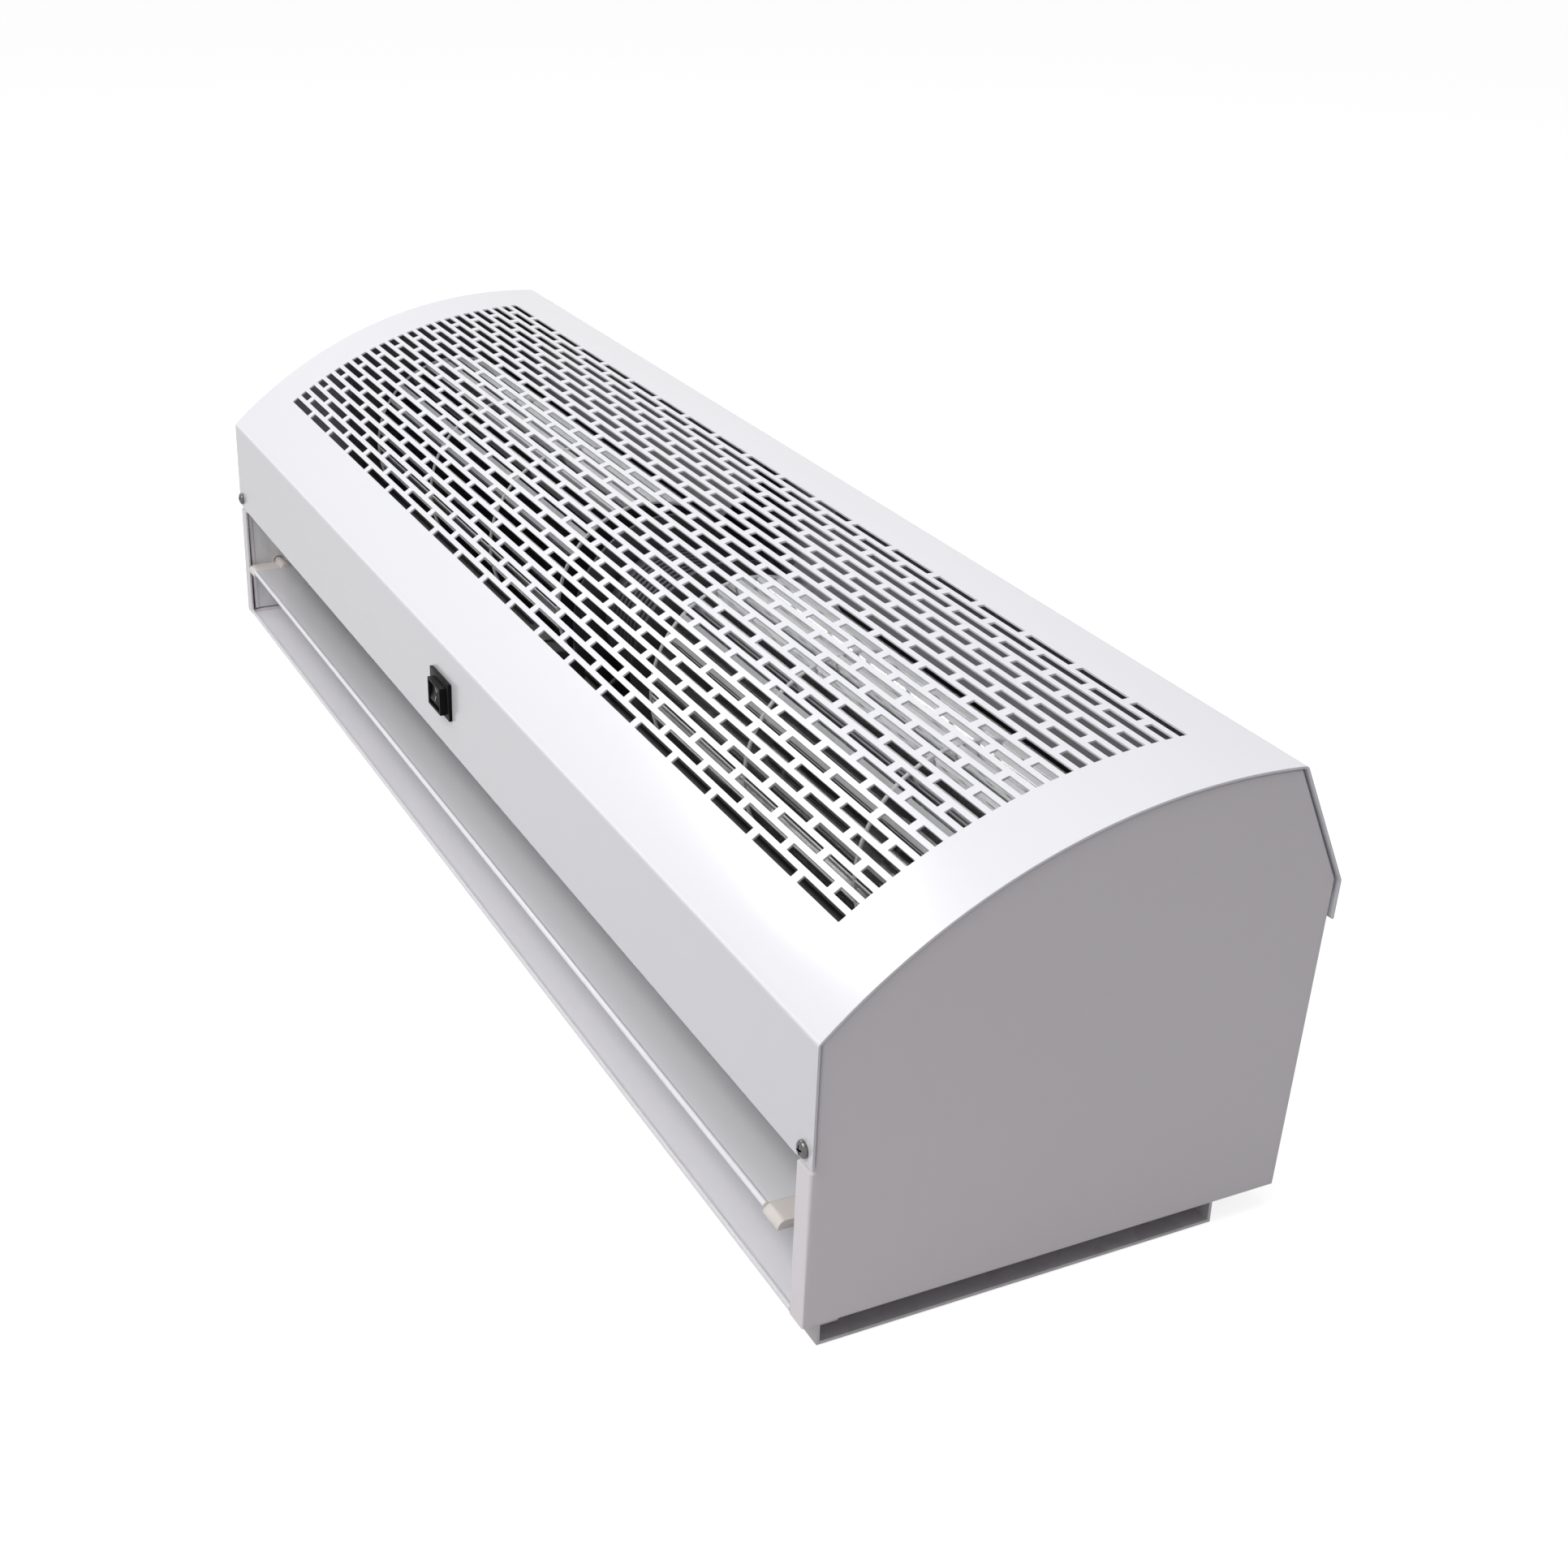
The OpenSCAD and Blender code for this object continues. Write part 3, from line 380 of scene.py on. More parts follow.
# Lit and shaded copies of one wheel metal: the right wheel's is paler and glossier, a painted highlight, and
# the left wheel's is darker and rougher, a painted shade.
blade_metal, shaded_wheel_metal = [
    finish(name, wheel_metal, {"Colour": rgb(grey, grey, grey), "Rim colour": rgb(0.9, 0.9, 0.9),
                               "Roughness": rough, "Rim roughness": 0.5, "Axis": WHEEL_AXIS,
                               "Rim radius": RIM_FROM})
    for name, grey, rough in (("bright wheel metal", 0.8, 0.1), ("dull wheel metal", 0.3, 0.18))]
motor_metal = metal("motor metal", (0.16, 0.16, 0.17), 0.12, 0.5, 160.0, 0.8)
shaft_steel = metal("shaft steel", (0.45, 0.45, 0.46), 0.05, 0.25, 60.0)
# The screws' chrome is set dark: a painted reflection of dark surroundings.
chrome = metal("chromed screw", (0.17, 0.168, 0.165), 0.05, 0.16, 300.0,
               more={"Line depth": 0.000002, "Roughness drift": 0.03})
bronze = metal("bearing bronze", (0.55, 0.36, 0.17), 0.1, 0.35, 200.0)
# The duct's pieces wear the cover's white paint in a paler copy, which lifts the shade in the outlet:
# painted light.
lit_duct_enamel = finish("duct enamel", painted_sheet,
                     {"Colour": rgb(0.93, 0.92, 0.945), "Drift": 0.012, "Roughness": 0.3},
                     Coat_Weight=0.2, Coat_Roughness=0.15)
rubber = finish("rubber", moulded_grain, {"Colour": rgb(0.02, 0.02, 0.021), "Roughness": 0.65})
black_gloss = finish("black gloss plastic", moulded_grain,
                     {"Colour": rgb(0.006, 0.006, 0.006), "Roughness": 0.35, "Grain depth": 0.000004},
                     Specular_IOR_Level=0.07)
dark_plastic = finish("dark plastic", moulded_grain, {"Colour": rgb(0.03, 0.03, 0.032)})
cream_plastic = finish("cream plastic", moulded_grain,
                       {"Colour": rgb(0.80, 0.745, 0.70), "Drift": 0.03, "Roughness": 0.4,
                        "Grain depth": 0.00001},
                       Subsurface_Weight=0.1, Subsurface_Scale=0.002)
mark_paint = finish("mark paint", moulded_grain, {"Colour": rgb(0.5, 0.5, 0.5), "Drift": 0.1})
print("finishes", len(bpy.data.materials))

# %% [markdown]
# ## Dressing the solids that stay
# Most inner solids already have the right shape, so they keep their mesh and only change their finish.
# A table goes from finish to the names of the solids.

# %% Finishes of the solids
def pairs(*names):
    return [name + end for name in names for end in ("_left", "_right")]


wearing = {
    zinc_sheet: pairs("scroll", "bearing_plate", "motor_bracket") + ["bay_panel", "capacitor_clip",
                                                                     "tongue_plate"],
    plate_zinc: ["wall_plate", "hanger_cleat", "lock_rail", "pan_rivets"],
    lilac_enamel: pairs("end_plate"),
    cover_enamel: ["front_cover"],
    lit_duct_enamel: ["base_pan", "rear_wall", "vane_blade"] + pairs("duct_cheek"),
    blade_metal: ["impeller_right"],
    shaded_wheel_metal: ["impeller_left"],
    motor_metal: ["motor_housing", "motor_end_bell", "motor_rotor"],
    shaft_steel: pairs("hub", "stub_shaft") + ["hub_screws", "motor_shaft", "motor_tie_bolts"],
    chrome: ["lock_screws", "cover_screws", "bracket_screws"],
    bronze: pairs("bearing") + ["switch_terminals"],
    rubber: pairs("bearing_seat", "motor_damper") + ["cable_grommet"],
    dark_plastic: ["capacitor", "terminal_block", "wiring"],
    black_gloss: ["switch_housing", "switch_rocker"],
    cream_plastic: pairs("vane_cap", "vane_pivot"),
}
dressed = set()
for material, names in wearing.items():
    for name in names:
        mesh = frame["nodes"][name].data
        mesh.materials.clear()
        mesh.materials.append(material)
        dressed.add(name)
print("dressed", len(dressed), "of", len(frame["nodes"]), sorted(set(frame["nodes"]) - dressed))

# %% [markdown]
# ## From the section to the scene
# The whole body is one long section: depth from the outlet's face and height over the pan's underside,
# in millimetres. One helper turns a point of that section into metres in the shared frame. A second one
# rounds the corners of a path, the way a press brake does, and a third measures along it.

# %% Section helpers
OUTLET_FACE = 110.0              # the outlet's face lies this far in front of the origin
PLATE_H = 12.0                   # the wall plate lifts the pan by this much


def place(x, depth, height):
    return Vector((x * MM, (depth - OUTLET_FACE) * MM, (height + PLATE_H) * MM))


def fold_path(points, radii, step=10.0, guard=1.5):
    """Rounds each inner corner; a point beside every bend keeps the flat faces flat in smooth shading."""
    made = [Vector(points[0])]
    for before, here, after, radius in zip(points, points[1:], points[2:], radii):
        here, before, after = Vector(here), Vector(before), Vector(after)
        if not radius:
            made.append(here)
            continue
        back, on = (before - here).normalized(), (after - here).normalized()
        turn = math.pi - back.angle(on)
        reach = radius * math.tan(turn / 2)
        centre = here + (back + on).normalized() * radius / math.cos(turn / 2)
        hand = 1 if back.x * on.y - back.y * on.x < 0 else -1
        if (before - here).length > reach + 2 * guard:
            made.append(here + back * (reach + guard))
        count = max(2, math.ceil(math.degrees(turn) / step))
        arm = here + back * reach - centre
        for i in range(count + 1):
            made.append(centre + Matrix.Rotation(hand * turn * i / count, 2) @ arm)
        if (after - here).length > reach + 2 * guard:
            made.append(here + on * (reach + guard))
    made.append(Vector(points[-1]))
    return made


def lengths_along(path):
    total = [0.0]
    for a, b in zip(path, path[1:]):
        total.append(total[-1] + (b - a).length)
    return total


def length_at(path, point):
    """Length along the path up to the corner nearest to the point."""
    nearest = min(range(len(path)), key=lambda i: (path[i] - Vector(point)).length)
    return lengths_along(path)[nearest]


print("bend test", len(fold_path([(0, 0), (10, 0), (10, 10)], [2])))

# %% Piece helpers
body_of = {node: body for body, nodes in frame["record"]["behaviour"]["bodies"].items() for node in nodes}


def close_mesh(work, name):
    """A mesh of a finished bmesh, its normals outward."""
    bmesh.ops.recalc_face_normals(work, faces=work.faces)
    mesh = bpy.data.meshes.new(name)
    work.to_mesh(mesh)
    work.free()
    return mesh


def strip(work, one, two):
    """A closed strip of faces between two loops of equal count."""
    for i in range(len(one)):
        j = (i + 1) % len(one)
        work.faces.new((one[i], one[j], two[j], two[i]))


def new_piece(name, mesh, material):
    mesh.materials.clear()
    mesh.materials.append(material)
    return linked(name, mesh)


def bake(piece, material, sharp=35.0):
    """Turns what the modifiers make into a plain mesh, smooth but for its sharp edges."""
    depsgraph = bpy.context.evaluated_depsgraph_get()
    mesh = bpy.data.meshes.new_from_object(piece.evaluated_get(depsgraph))
    piece.modifiers.clear()
    piece.data = mesh
    mesh.name = piece.name
    mesh.materials.clear()
    mesh.materials.append(material)
    mesh.shade_smooth()
    mesh.set_sharp_from_angle(angle=math.radians(sharp))
    return piece


def stands_for(piece, *nodes):
    """The piece rides with the body of the first node that it replaces, and those nodes are hidden."""
    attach(piece, body_of[nodes[0]])
    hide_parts(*nodes)
    size = [max(v.co[i] for v in piece.data.vertices) - min(v.co[i] for v in piece.data.vertices)
            for i in range(3)]
    print(piece.name, len(piece.data.polygons), "faces,", [round(v / MM, 1) for v in size], "mm")


def bevelled(piece, width, segments=2, angle=30.0):
    soft = piece.modifiers.new("soft edges", "BEVEL")
    soft.width = width * MM
    soft.segments = segments
    soft.limit_method = "ANGLE"
    soft.angle_limit = math.radians(angle)
    return piece


def thickened(piece, thickness, grows=-1.0):
    """Gives a sheet its thickness: -1 grows it against its faces' normals, 1 along them."""
    wall = piece.modifiers.new("sheet thickness", "SOLIDIFY")
    wall.thickness = thickness * MM
    wall.offset = grows
    wall.use_even_offset = True
    return piece


def set_inputs(modifier, values):
    """Sets a Geometry Nodes modifier's inputs by their sockets' identifiers."""
    sockets = {item.name: item.identifier for item in modifier.node_group.interface.items_tree
               if item.item_type == "SOCKET" and item.in_out == "INPUT"}
    for label, value in values.items():
        modifier[sockets[label]] = value


def softened(node, material, width, segments=2, angle=30.0, sharp=35.0):
    """A copy of a CAD solid with merged points, flat faces in one and slightly rounded edges."""
    work = bmesh.new()
    work.from_mesh(frame["nodes"][node].data)
    bmesh.ops.remove_doubles(work, verts=work.verts, dist=0.000002)
    bmesh.ops.dissolve_limit(work, angle_limit=math.radians(0.6), verts=work.verts, edges=work.edges)
    mesh = bpy.data.meshes.new(node + "_soft")
    work.to_mesh(mesh)
    work.free()
    piece = bevelled(new_piece(node + "_soft", mesh, material), width, segments, angle)
    stands_for(bake(piece, material, sharp), node)
    return piece


print("helpers ready")

# %% [markdown]
# ## The arched cover
# The real cover is one sheet: a press punches 25 rows of staggered slots in the flat blank, and a brake
# then folds the lip, the front strip and the rear slope and rolls the arch. Geometry Nodes repeat those
# steps. A flat grid has a line wherever a slot or a bend begins or ends. The tree finds the faces that
# lie in a slot from their row and their place along the row, deletes them, and lays each point of the
# blank on the profile at the same length. Solidify then gives the sheet its thickness.

# %% Profile of the cover
SHEET = 1.2
HALF_L = 450.0
FRONT_CREASE = Vector((2.0, 140.0))
ARCH_END = Vector((230.0, 217.5))
ARCH_R = 294.0
REAR_CREASE = Vector((257.5, 157.5))
PAN_REAR = Vector((247.5, 0.0))
OUTLET_TOP = 79.0
COVER_REAR = 138.5
LIP = 10.2                       # how far the lip runs back under the lower edge
LIP_HALF_L = 436.0
LIP_BEND, CREASE_BEND, REAR_BEND = 1.6, 2.6, 3.0
chord = ARCH_END - FRONT_CREASE
rise = math.sqrt(ARCH_R ** 2 - chord.length_squared / 4)
ARCH_C = (FRONT_CREASE + ARCH_END) / 2 + rise * Vector((chord.y, -chord.x)) / chord.length
ARCH_START = math.atan2(*(FRONT_CREASE - ARCH_C).yx)
ARCH_L = (ARCH_START - math.atan2(*(ARCH_END - ARCH_C).yx)) * ARCH_R


def on_front(height):
    return Vector((FRONT_CREASE.x * height / FRONT_CREASE.y, height))


def on_rear(height):
    return PAN_REAR + (REAR_CREASE - PAN_REAR) * height / REAR_CREASE.y


def on_arch(length, inside=0.0):
    angle = ARCH_START - length / ARCH_R
    return ARCH_C + (ARCH_R - inside) * Vector((math.cos(angle), math.sin(angle)))


ROWS, ROW_PITCH, ROW_W, FIRST_ROW = 25, 7.24, 4.3, 42.3
SLOT_PITCH, SLOT_BAR, SLOTS = 43.0, 5.5, 19
SWITCH_Z, SWITCH_W, SWITCH_H = 110.5, 27.6, 19.2
row_edges = [FIRST_ROW + row * ROW_PITCH + half * ROW_W / 2 for row in range(ROWS) for half in (-1, 1)]
before_rows = [4 + 4.0 * i for i in range(9)]
after_rows = [row_edges[-1] + 4.0 + 4.0 * i for i in range(6)]
arch = [on_arch(s) for s in before_rows + row_edges + after_rows if s < ARCH_L - 3]
lower_edge = on_front(OUTLET_TOP)
corners = ([lower_edge + Vector((LIP, 0)), lower_edge, on_front(SWITCH_Z - SWITCH_H / 2),
            on_front(SWITCH_Z + SWITCH_H / 2), FRONT_CREASE] + arch +
           [ARCH_END, REAR_CREASE, on_rear(COVER_REAR)])
radii = [LIP_BEND, 0, 0, CREASE_BEND] + [0] * len(arch) + [REAR_BEND, REAR_BEND]
cover_path = fold_path(corners, radii)
print("cover blank is", round(lengths_along(cover_path)[-1], 1), "mm wide;", len(cover_path), "lines")

# %% Tree: punch and fold a sheet
tree, given, result = open_group(
    "punch and fold", "GeometryNodeTree",
    [("Blank", "Geometry", None), ("Profile", "Object", None), ("Finish", "Material", None),
     *numbers(Slot_pitch=0.0, Slot_bar=0.0, Row_pitch=1.0, Row_width=0.0, First_row=0.0, Rows=0.0,
              Grille_half_length=0.0, Lip_length=0.0, Lip_half_length=0.0, Window_half_width=0.0,
              Window_start=0.0, Window_end=0.0)],
    [("Sheet", "Geometry")])
where = add(tree, "ShaderNodeSeparateXYZ", {0: add(tree, "GeometryNodeInputPosition").outputs[0]}).outputs
far_out = calc(tree, "ABSOLUTE", where["X"])
row_at = calc(tree, "DIVIDE", minus(tree, where["Y"], given["First row"]), given["Row pitch"])
row = calc(tree, "ROUND", row_at)
off_row = calc(tree, "ABSOLUTE", minus(tree, row_at, row))
off_row = times(tree, off_row, given["Row pitch"])
in_row = calc(tree, "LESS_THAN", off_row, times(tree, given["Row width"], 0.5))
not_before = calc(tree, "GREATER_THAN", row, -0.5)
not_after = calc(tree, "LESS_THAN", row, minus(tree, given["Rows"], 0.5))
stagger = times(tree, calc(tree, "MODULO", row, 2.0), 0.5)
slot_at = calc(tree, "ADD", calc(tree, "DIVIDE", where["X"], given["Slot pitch"]), stagger)
off_slot = calc(tree, "ABSOLUTE", minus(tree, slot_at, calc(tree, "ROUND", slot_at)))
slot_half = times(tree, minus(tree, given["Slot pitch"], given["Slot bar"]), 0.5)
in_slot = calc(tree, "LESS_THAN", times(tree, off_slot, given["Slot pitch"]), slot_half)
in_grille = calc(tree, "LESS_THAN", far_out, given["Grille half length"])
slot = 1.0
for rule in (in_row, not_before, not_after, in_slot, in_grille):
    slot = times(tree, rule, slot)
notch = times(tree, calc(tree, "LESS_THAN", where["Y"], given["Lip length"]),
             calc(tree, "GREATER_THAN", far_out, given["Lip half length"]))
window = times(tree, calc(tree, "GREATER_THAN", where["Y"], given["Window start"]),
              calc(tree, "LESS_THAN", where["Y"], given["Window end"]))
window = times(tree, window, calc(tree, "LESS_THAN", far_out, given["Window half width"]))
cut = calc(tree, "GREATER_THAN", calc(tree, "ADD", calc(tree, "ADD", slot, notch), window), 0.5)
punched = add(tree, "GeometryNodeDeleteGeometry", {"Geometry": given["Blank"], "Selection": cut},
              domain="FACE")
outline = add(tree, "GeometryNodeObjectInfo", {"Object": given["Profile"]}).outputs["Geometry"]
sample = add(tree, "GeometryNodeSampleCurve", {"Curves": outline, "Length": where["Y"]}, mode="LENGTH")
folded = add(tree, "ShaderNodeSeparateXYZ", {0: sample.outputs["Position"]}).outputs
spot = add(tree, "ShaderNodeCombineXYZ", {"X": where["X"], "Y": folded["Y"], "Z": folded["Z"]}).outputs[0]
bent = add(tree, "GeometryNodeSetPosition", {"Geometry": punched.outputs[0], "Position": spot})
punch_and_fold = close_group(tree, result, {"Sheet": realized(tree, bent.outputs[0], given["Finish"])})


# %% Function: a folded sheet
def folded_sheet(name, path, columns, material, thickness, grows=-1.0, **rules):
    """A flat blank with lines at the columns and at the path's corners, punched and folded by the tree."""
    outline = bpy.data.curves.new(name + "_profile", "CURVE")
    outline.dimensions = "3D"
    line = outline.splines.new("POLY")
    line.points.add(len(path) - 1)
    for point, spot in zip(line.points, path):
        point.co = (*place(0, spot.x, spot.y), 1.0)
    profile = linked(name + "_profile", outline)
    columns = sorted({round(x, 4) for x in columns})
    heights = lengths_along(path)
    points = [(x * MM, s * MM, 0) for s in heights for x in columns]
    wide = len(columns)
    faces = [(r * wide + c, r * wide + c + 1, (r + 1) * wide + c + 1, (r + 1) * wide + c)
             for r in range(len(heights) - 1) for c in range(wide - 1)]
    blank = bpy.data.meshes.new(name)
    blank.from_pydata(points, [], faces)
    piece = new_piece(name, blank, material)
    fold = piece.modifiers.new("fold", "NODES")
    fold.node_group = punch_and_fold
    set_inputs(fold, {"Profile": profile, "Finish": material, **rules})
    thickened(piece, thickness, grows)
    bevelled(piece, min(0.25, thickness / 5), 1, 50.0)
    bake(piece, material)
    bpy.data.objects.remove(profile)
    return piece


# %% Cover
slot_lines = [SLOT_PITCH * k + side * edge for k in range(-9, 10) for side in (-1, 1)
              for edge in (SLOT_BAR / 2, (SLOT_PITCH - SLOT_BAR) / 2)]
window_lines = [-SWITCH_W / 2, SWITCH_W / 2]
end_lines = [-HALF_L, -LIP_HALF_L, LIP_HALF_L, HALF_L]
first_row = length_at(cover_path, on_arch(row_edges[0])) + ROW_W / 2
lip_end = length_at(cover_path, lower_edge + Vector((0, LIP_BEND)))
cover = folded_sheet("arched_cover", cover_path, slot_lines + window_lines + end_lines, cover_enamel, SHEET,
                     **{"Slot pitch": SLOT_PITCH * MM, "Slot bar": SLOT_BAR * MM, "Rows": float(ROWS),
                        "Row pitch": ROW_PITCH * MM, "Row width": ROW_W * MM, "First row": first_row * MM,
                        "Grille half length": (SLOTS * SLOT_PITCH - SLOT_BAR) / 2 * MM,
                        "Lip length": lip_end * MM, "Lip half length": LIP_HALF_L * MM,
                        "Window half width": SWITCH_W / 2 * MM,
                        "Window start": length_at(cover_path, on_front(SWITCH_Z - SWITCH_H / 2)) * MM,
                        "Window end": length_at(cover_path, on_front(SWITCH_Z + SWITCH_H / 2)) * MM})
stands_for(cover, "front_cover")

# %% [markdown]
# ## The pan
# The pan is one folded sheet too: a low lip in front, the long floor, which is also the lower wall of
# the outlet, and the rear wall. The same tree folds it, with no slots.

# %% Pan
END_X = 449.0
PAN_X, LIP_X, LIP_H = 447.0, 436.7, 3.6
PAN_INSET = 1.4                  # the rear wall tucks in under the cover by this much
inset = Vector((-PAN_INSET, 0))
PAN_TOP, PAN_BENDS = 151.0, (1.6, 2.0)
pan_path = fold_path([Vector((0, LIP_H)), Vector((0, 0)), on_rear(0) + inset, on_rear(PAN_TOP) + inset],
                     PAN_BENDS)
pan = folded_sheet("folded_pan", pan_path, [-PAN_X, -LIP_X, LIP_X, PAN_X], lit_duct_enamel, SHEET, 1.0,
                   **{"Lip length": length_at(pan_path, (PAN_BENDS[0], 0)) * MM,
                      "Lip half length": LIP_X * MM})
stands_for(pan, "base_pan", "rear_wall")
print("pan blank is", round(lengths_along(pan_path)[-1], 1), "mm wide")

# %% [markdown]
# ## The end plates
# Each end plate is a flat face with a returned edge all round. Below the cover's lower edge it comes out
# flush with the cover, and above that it sits just inside it, which leaves a thin dark gap along the
# arch. The edge is bent with a radius of about 1.3 mm, and the light on that roll is what shows that it
# is sheet metal. The outline is worked out at several depths through the bend, and the loops are joined.

# %% Outline of an end plate
GAP = 2.2                        # inset behind the cover's skin: its thickness and the dark gap
FLUSH = 0.1
REAR_INSET = 2.8
FOOT, FLOOR = 0.12, 1.3          # the face and the front edge come lower than the flange on the pan
STEP_LOW, STEP_HIGH = 78.0, 78.7
END_BEND = 1.3
FLANGE = 12.0


def shifted(a, b, inward):
    """The line from a to b, moved to its right-hand side, as a point and a direction."""
    way = (Vector(b) - Vector(a)).normalized()
    return Vector(a) + inward * Vector((way.y, -way.x)), way


def meet(one, two):
    (p, d), (q, e) = one, two
    cross = d.x * e.y - d.y * e.x
    r = q - p
    return p + d * ((r.x * e.y - r.y * e.x) / cross)


def meet_arch(line, radius, near):
    """Where a line meets the circle about the arch's centre, nearest to a point."""
    p, d = line
    along = (ARCH_C - p).dot(d)
    foot = p + d * along
    half = math.sqrt(radius ** 2 - (ARCH_C - foot).length_squared)
    return min((foot + d * half, foot - d * half), key=lambda spot: (spot - near).length)


def end_outline(inward, floor):
    """Corners of the end plate's edge, clockwise from the front foot, moved inwards."""
    floor_line = shifted(Vector((260, floor)), Vector((0, floor)), inward)
    foot_line = shifted(Vector((260, FOOT)), Vector((0, FOOT)), inward)
    low = shifted(on_front(0) + Vector((FLUSH, 0)), on_front(100) + Vector((FLUSH, 0)), inward)
    step = shifted(on_front(STEP_LOW) + Vector((FLUSH, 0)), on_front(STEP_HIGH) + Vector((GAP, 0)), inward)
    high = shifted(on_front(0) + Vector((GAP, 0)), on_front(100) + Vector((GAP, 0)), inward)
    slope = shifted(ARCH_END, REAR_CREASE, inward + GAP)
    rear = shifted(on_rear(150) - Vector((REAR_INSET, 0)), on_rear(0) - Vector((REAR_INSET, 0)), inward)
    radius = ARCH_R - GAP - inward
    start = meet_arch(high, radius, FRONT_CREASE)
    finish = meet_arch(slope, radius, ARCH_END)
    a0 = math.atan2(*(start - ARCH_C).yx)
    a1 = math.atan2(*(finish - ARCH_C).yx)
    count = 48
    rounded = [ARCH_C + radius * Vector((math.cos(a), math.sin(a)))
               for a in (a0 + (a1 - a0) * i / count for i in range(count + 1))]
    return ([meet(foot_line, low), meet(low, step), meet(step, high)] + rounded +
            [meet(slope, rear), meet(rear, floor_line), Vector((1.6 + inward, floor + inward)),
             Vector((1.5 + inward, FOOT + inward))])


def end_plate(name, side, material):
    work = bmesh.new()
    loops = []
    rings = [(END_BEND + 1.5, 0.0, FOOT)]
    for i in range(6):
        angle = math.radians(90.0 * i / 5)
        rings.append((END_BEND * (1 - math.sin(angle)), END_BEND * (1 - math.cos(angle)), FOOT))
    rings += [(0.0, END_BEND + 0.1, FLOOR), (0.0, END_BEND + 1.2, FLOOR), (0.0, FLANGE, FLOOR)]
    for inward, back, floor_z in rings:
        loops.append([work.verts.new(place(side * (END_X - back), *spot))
                      for spot in end_outline(inward, floor_z)])
    work.faces.new(loops[0])
    for outer, inner in zip(loops, loops[1:]):
        strip(work, outer, inner)
    mesh = close_mesh(work, name)
    face = max(mesh.polygons, key=lambda polygon: polygon.area)
    if face.normal.x * side < 0:
        mesh.flip_normals()
    piece = thickened(new_piece(name, mesh, material), SHEET)
    return bake(piece, material, 40.0)


for label, side in (("left", -1), ("right", 1)):
    stands_for(end_plate("folded_end_" + label, side, lilac_enamel), "end_plate_" + label)

# %% [markdown]
# ## Screws and rivets
# One screw is turned as a domed head with a cross recess, and a Geometry Nodes tree sets a copy on every
# marked point, turned to face the way the point's own arrow says. The rivets use the same tree.

# %% Tree: copies on marked points
tree, given, result = open_group(
    "set on points", "GeometryNodeTree",
    [("Points", "Geometry", None), ("Fastener", "Object", None), ("Size", "Float", 1.0),
     ("Turn seed", "Int", 7), ("Turn", "Float", 0.6), ("Finish", "Material", None)],
    [("Fasteners", "Geometry")])
facing = add(tree, "GeometryNodeInputNamedAttribute", {"Name": "facing"},
             data_type="FLOAT_VECTOR").outputs[0]
upright = add(tree, "FunctionNodeAlignRotationToVector", {"Vector": facing}, axis="Z").outputs[0]
chance = add(tree, "FunctionNodeRandomValue", {"Min": 0.0, "Max": given["Turn"], "Seed": given["Turn seed"]},
             data_type="FLOAT")
spin = add(tree, "ShaderNodeCombineXYZ", {"Z": next(s for s in chance.outputs if s.enabled)}).outputs[0]
twist = add(tree, "FunctionNodeRotateRotation", {"Rotation": upright, "Rotate By": spin},
            rotation_space="LOCAL")
screw = add(tree, "GeometryNodeObjectInfo", {"Object": given["Fastener"]}).outputs["Geometry"]
dots = add(tree, "GeometryNodeMeshToPoints", {"Mesh": given["Points"]}).outputs[0]
copies = add(tree, "GeometryNodeInstanceOnPoints", {"Points": dots, "Instance": screw,
                                                    "Rotation": twist.outputs[0], "Scale": given["Size"]})
set_on_points = close_group(tree, result, {
    "Fasteners": realized(tree, copies.outputs[0], given["Finish"])})


# %% One screw and one rivet
def turned(name, profile, steps=32):
    """Turns a profile of (radius, height) in millimetres about the Z axis."""
    work = bmesh.new()
    rings = [[work.verts.new((r * MM * math.cos(a), r * MM * math.sin(a), z * MM))
              for a in (2 * math.pi * i / steps for i in range(steps))] for r, z in profile]
    for low_ring, high_ring in zip(rings, rings[1:]):
        strip(work, low_ring, high_ring)
    work.faces.new(rings[-1])
    work.faces.new(list(reversed(rings[0])))
    return close_mesh(work, name)


head = [(4.0 - 0.15, 0.0), (4.0, 0.2), (4.0, 1.1)]
head += [(0.6 + 3.4 * math.cos(a), 1.1 + 1.5 * math.sin(a))
         for a in (math.pi / 2 * i / 6 for i in range(1, 6))]
head += [(0.55, 2.6)]
screw_body = new_piece("screw_body", turned("screw_body", [(2.0, -6.4), (2.0, -0.02), (3.85, -0.01)] + head),
                       chrome)
recess = bmesh.new()
for quarter in (0, 1):
    turn_by = Matrix.Rotation(math.pi / 2 * quarter, 4, "Z") @ Matrix.Translation((0, 0, 2.3 * MM))
    bmesh.ops.create_cube(recess, size=1.0,
                          matrix=turn_by @ Matrix.Diagonal((4.4 * MM, 0.95 * MM, 2.6 * MM, 1.0)))
recess_mesh = bpy.data.meshes.new("recess")
recess.to_mesh(recess_mesh)
recess.free()
recess_tool = linked("recess", recess_mesh)
cutting = screw_body.modifiers.new("recess", "BOOLEAN")
cutting.operation = "DIFFERENCE"
cutting.solver = "EXACT"
cutting.use_self = True
cutting.object = recess_tool
bake(screw_body, chrome)
bpy.data.objects.remove(recess_tool)
rivet_body = new_piece("rivet_body", turned("rivet_body", [(3.2, 0.0), (3.1, 0.4), (2.6, 0.85), (1.6, 1.15),
                                                           (0.6, 1.2)], 24), plate_zinc)
print("screw", len(screw_body.data.polygons), "faces")


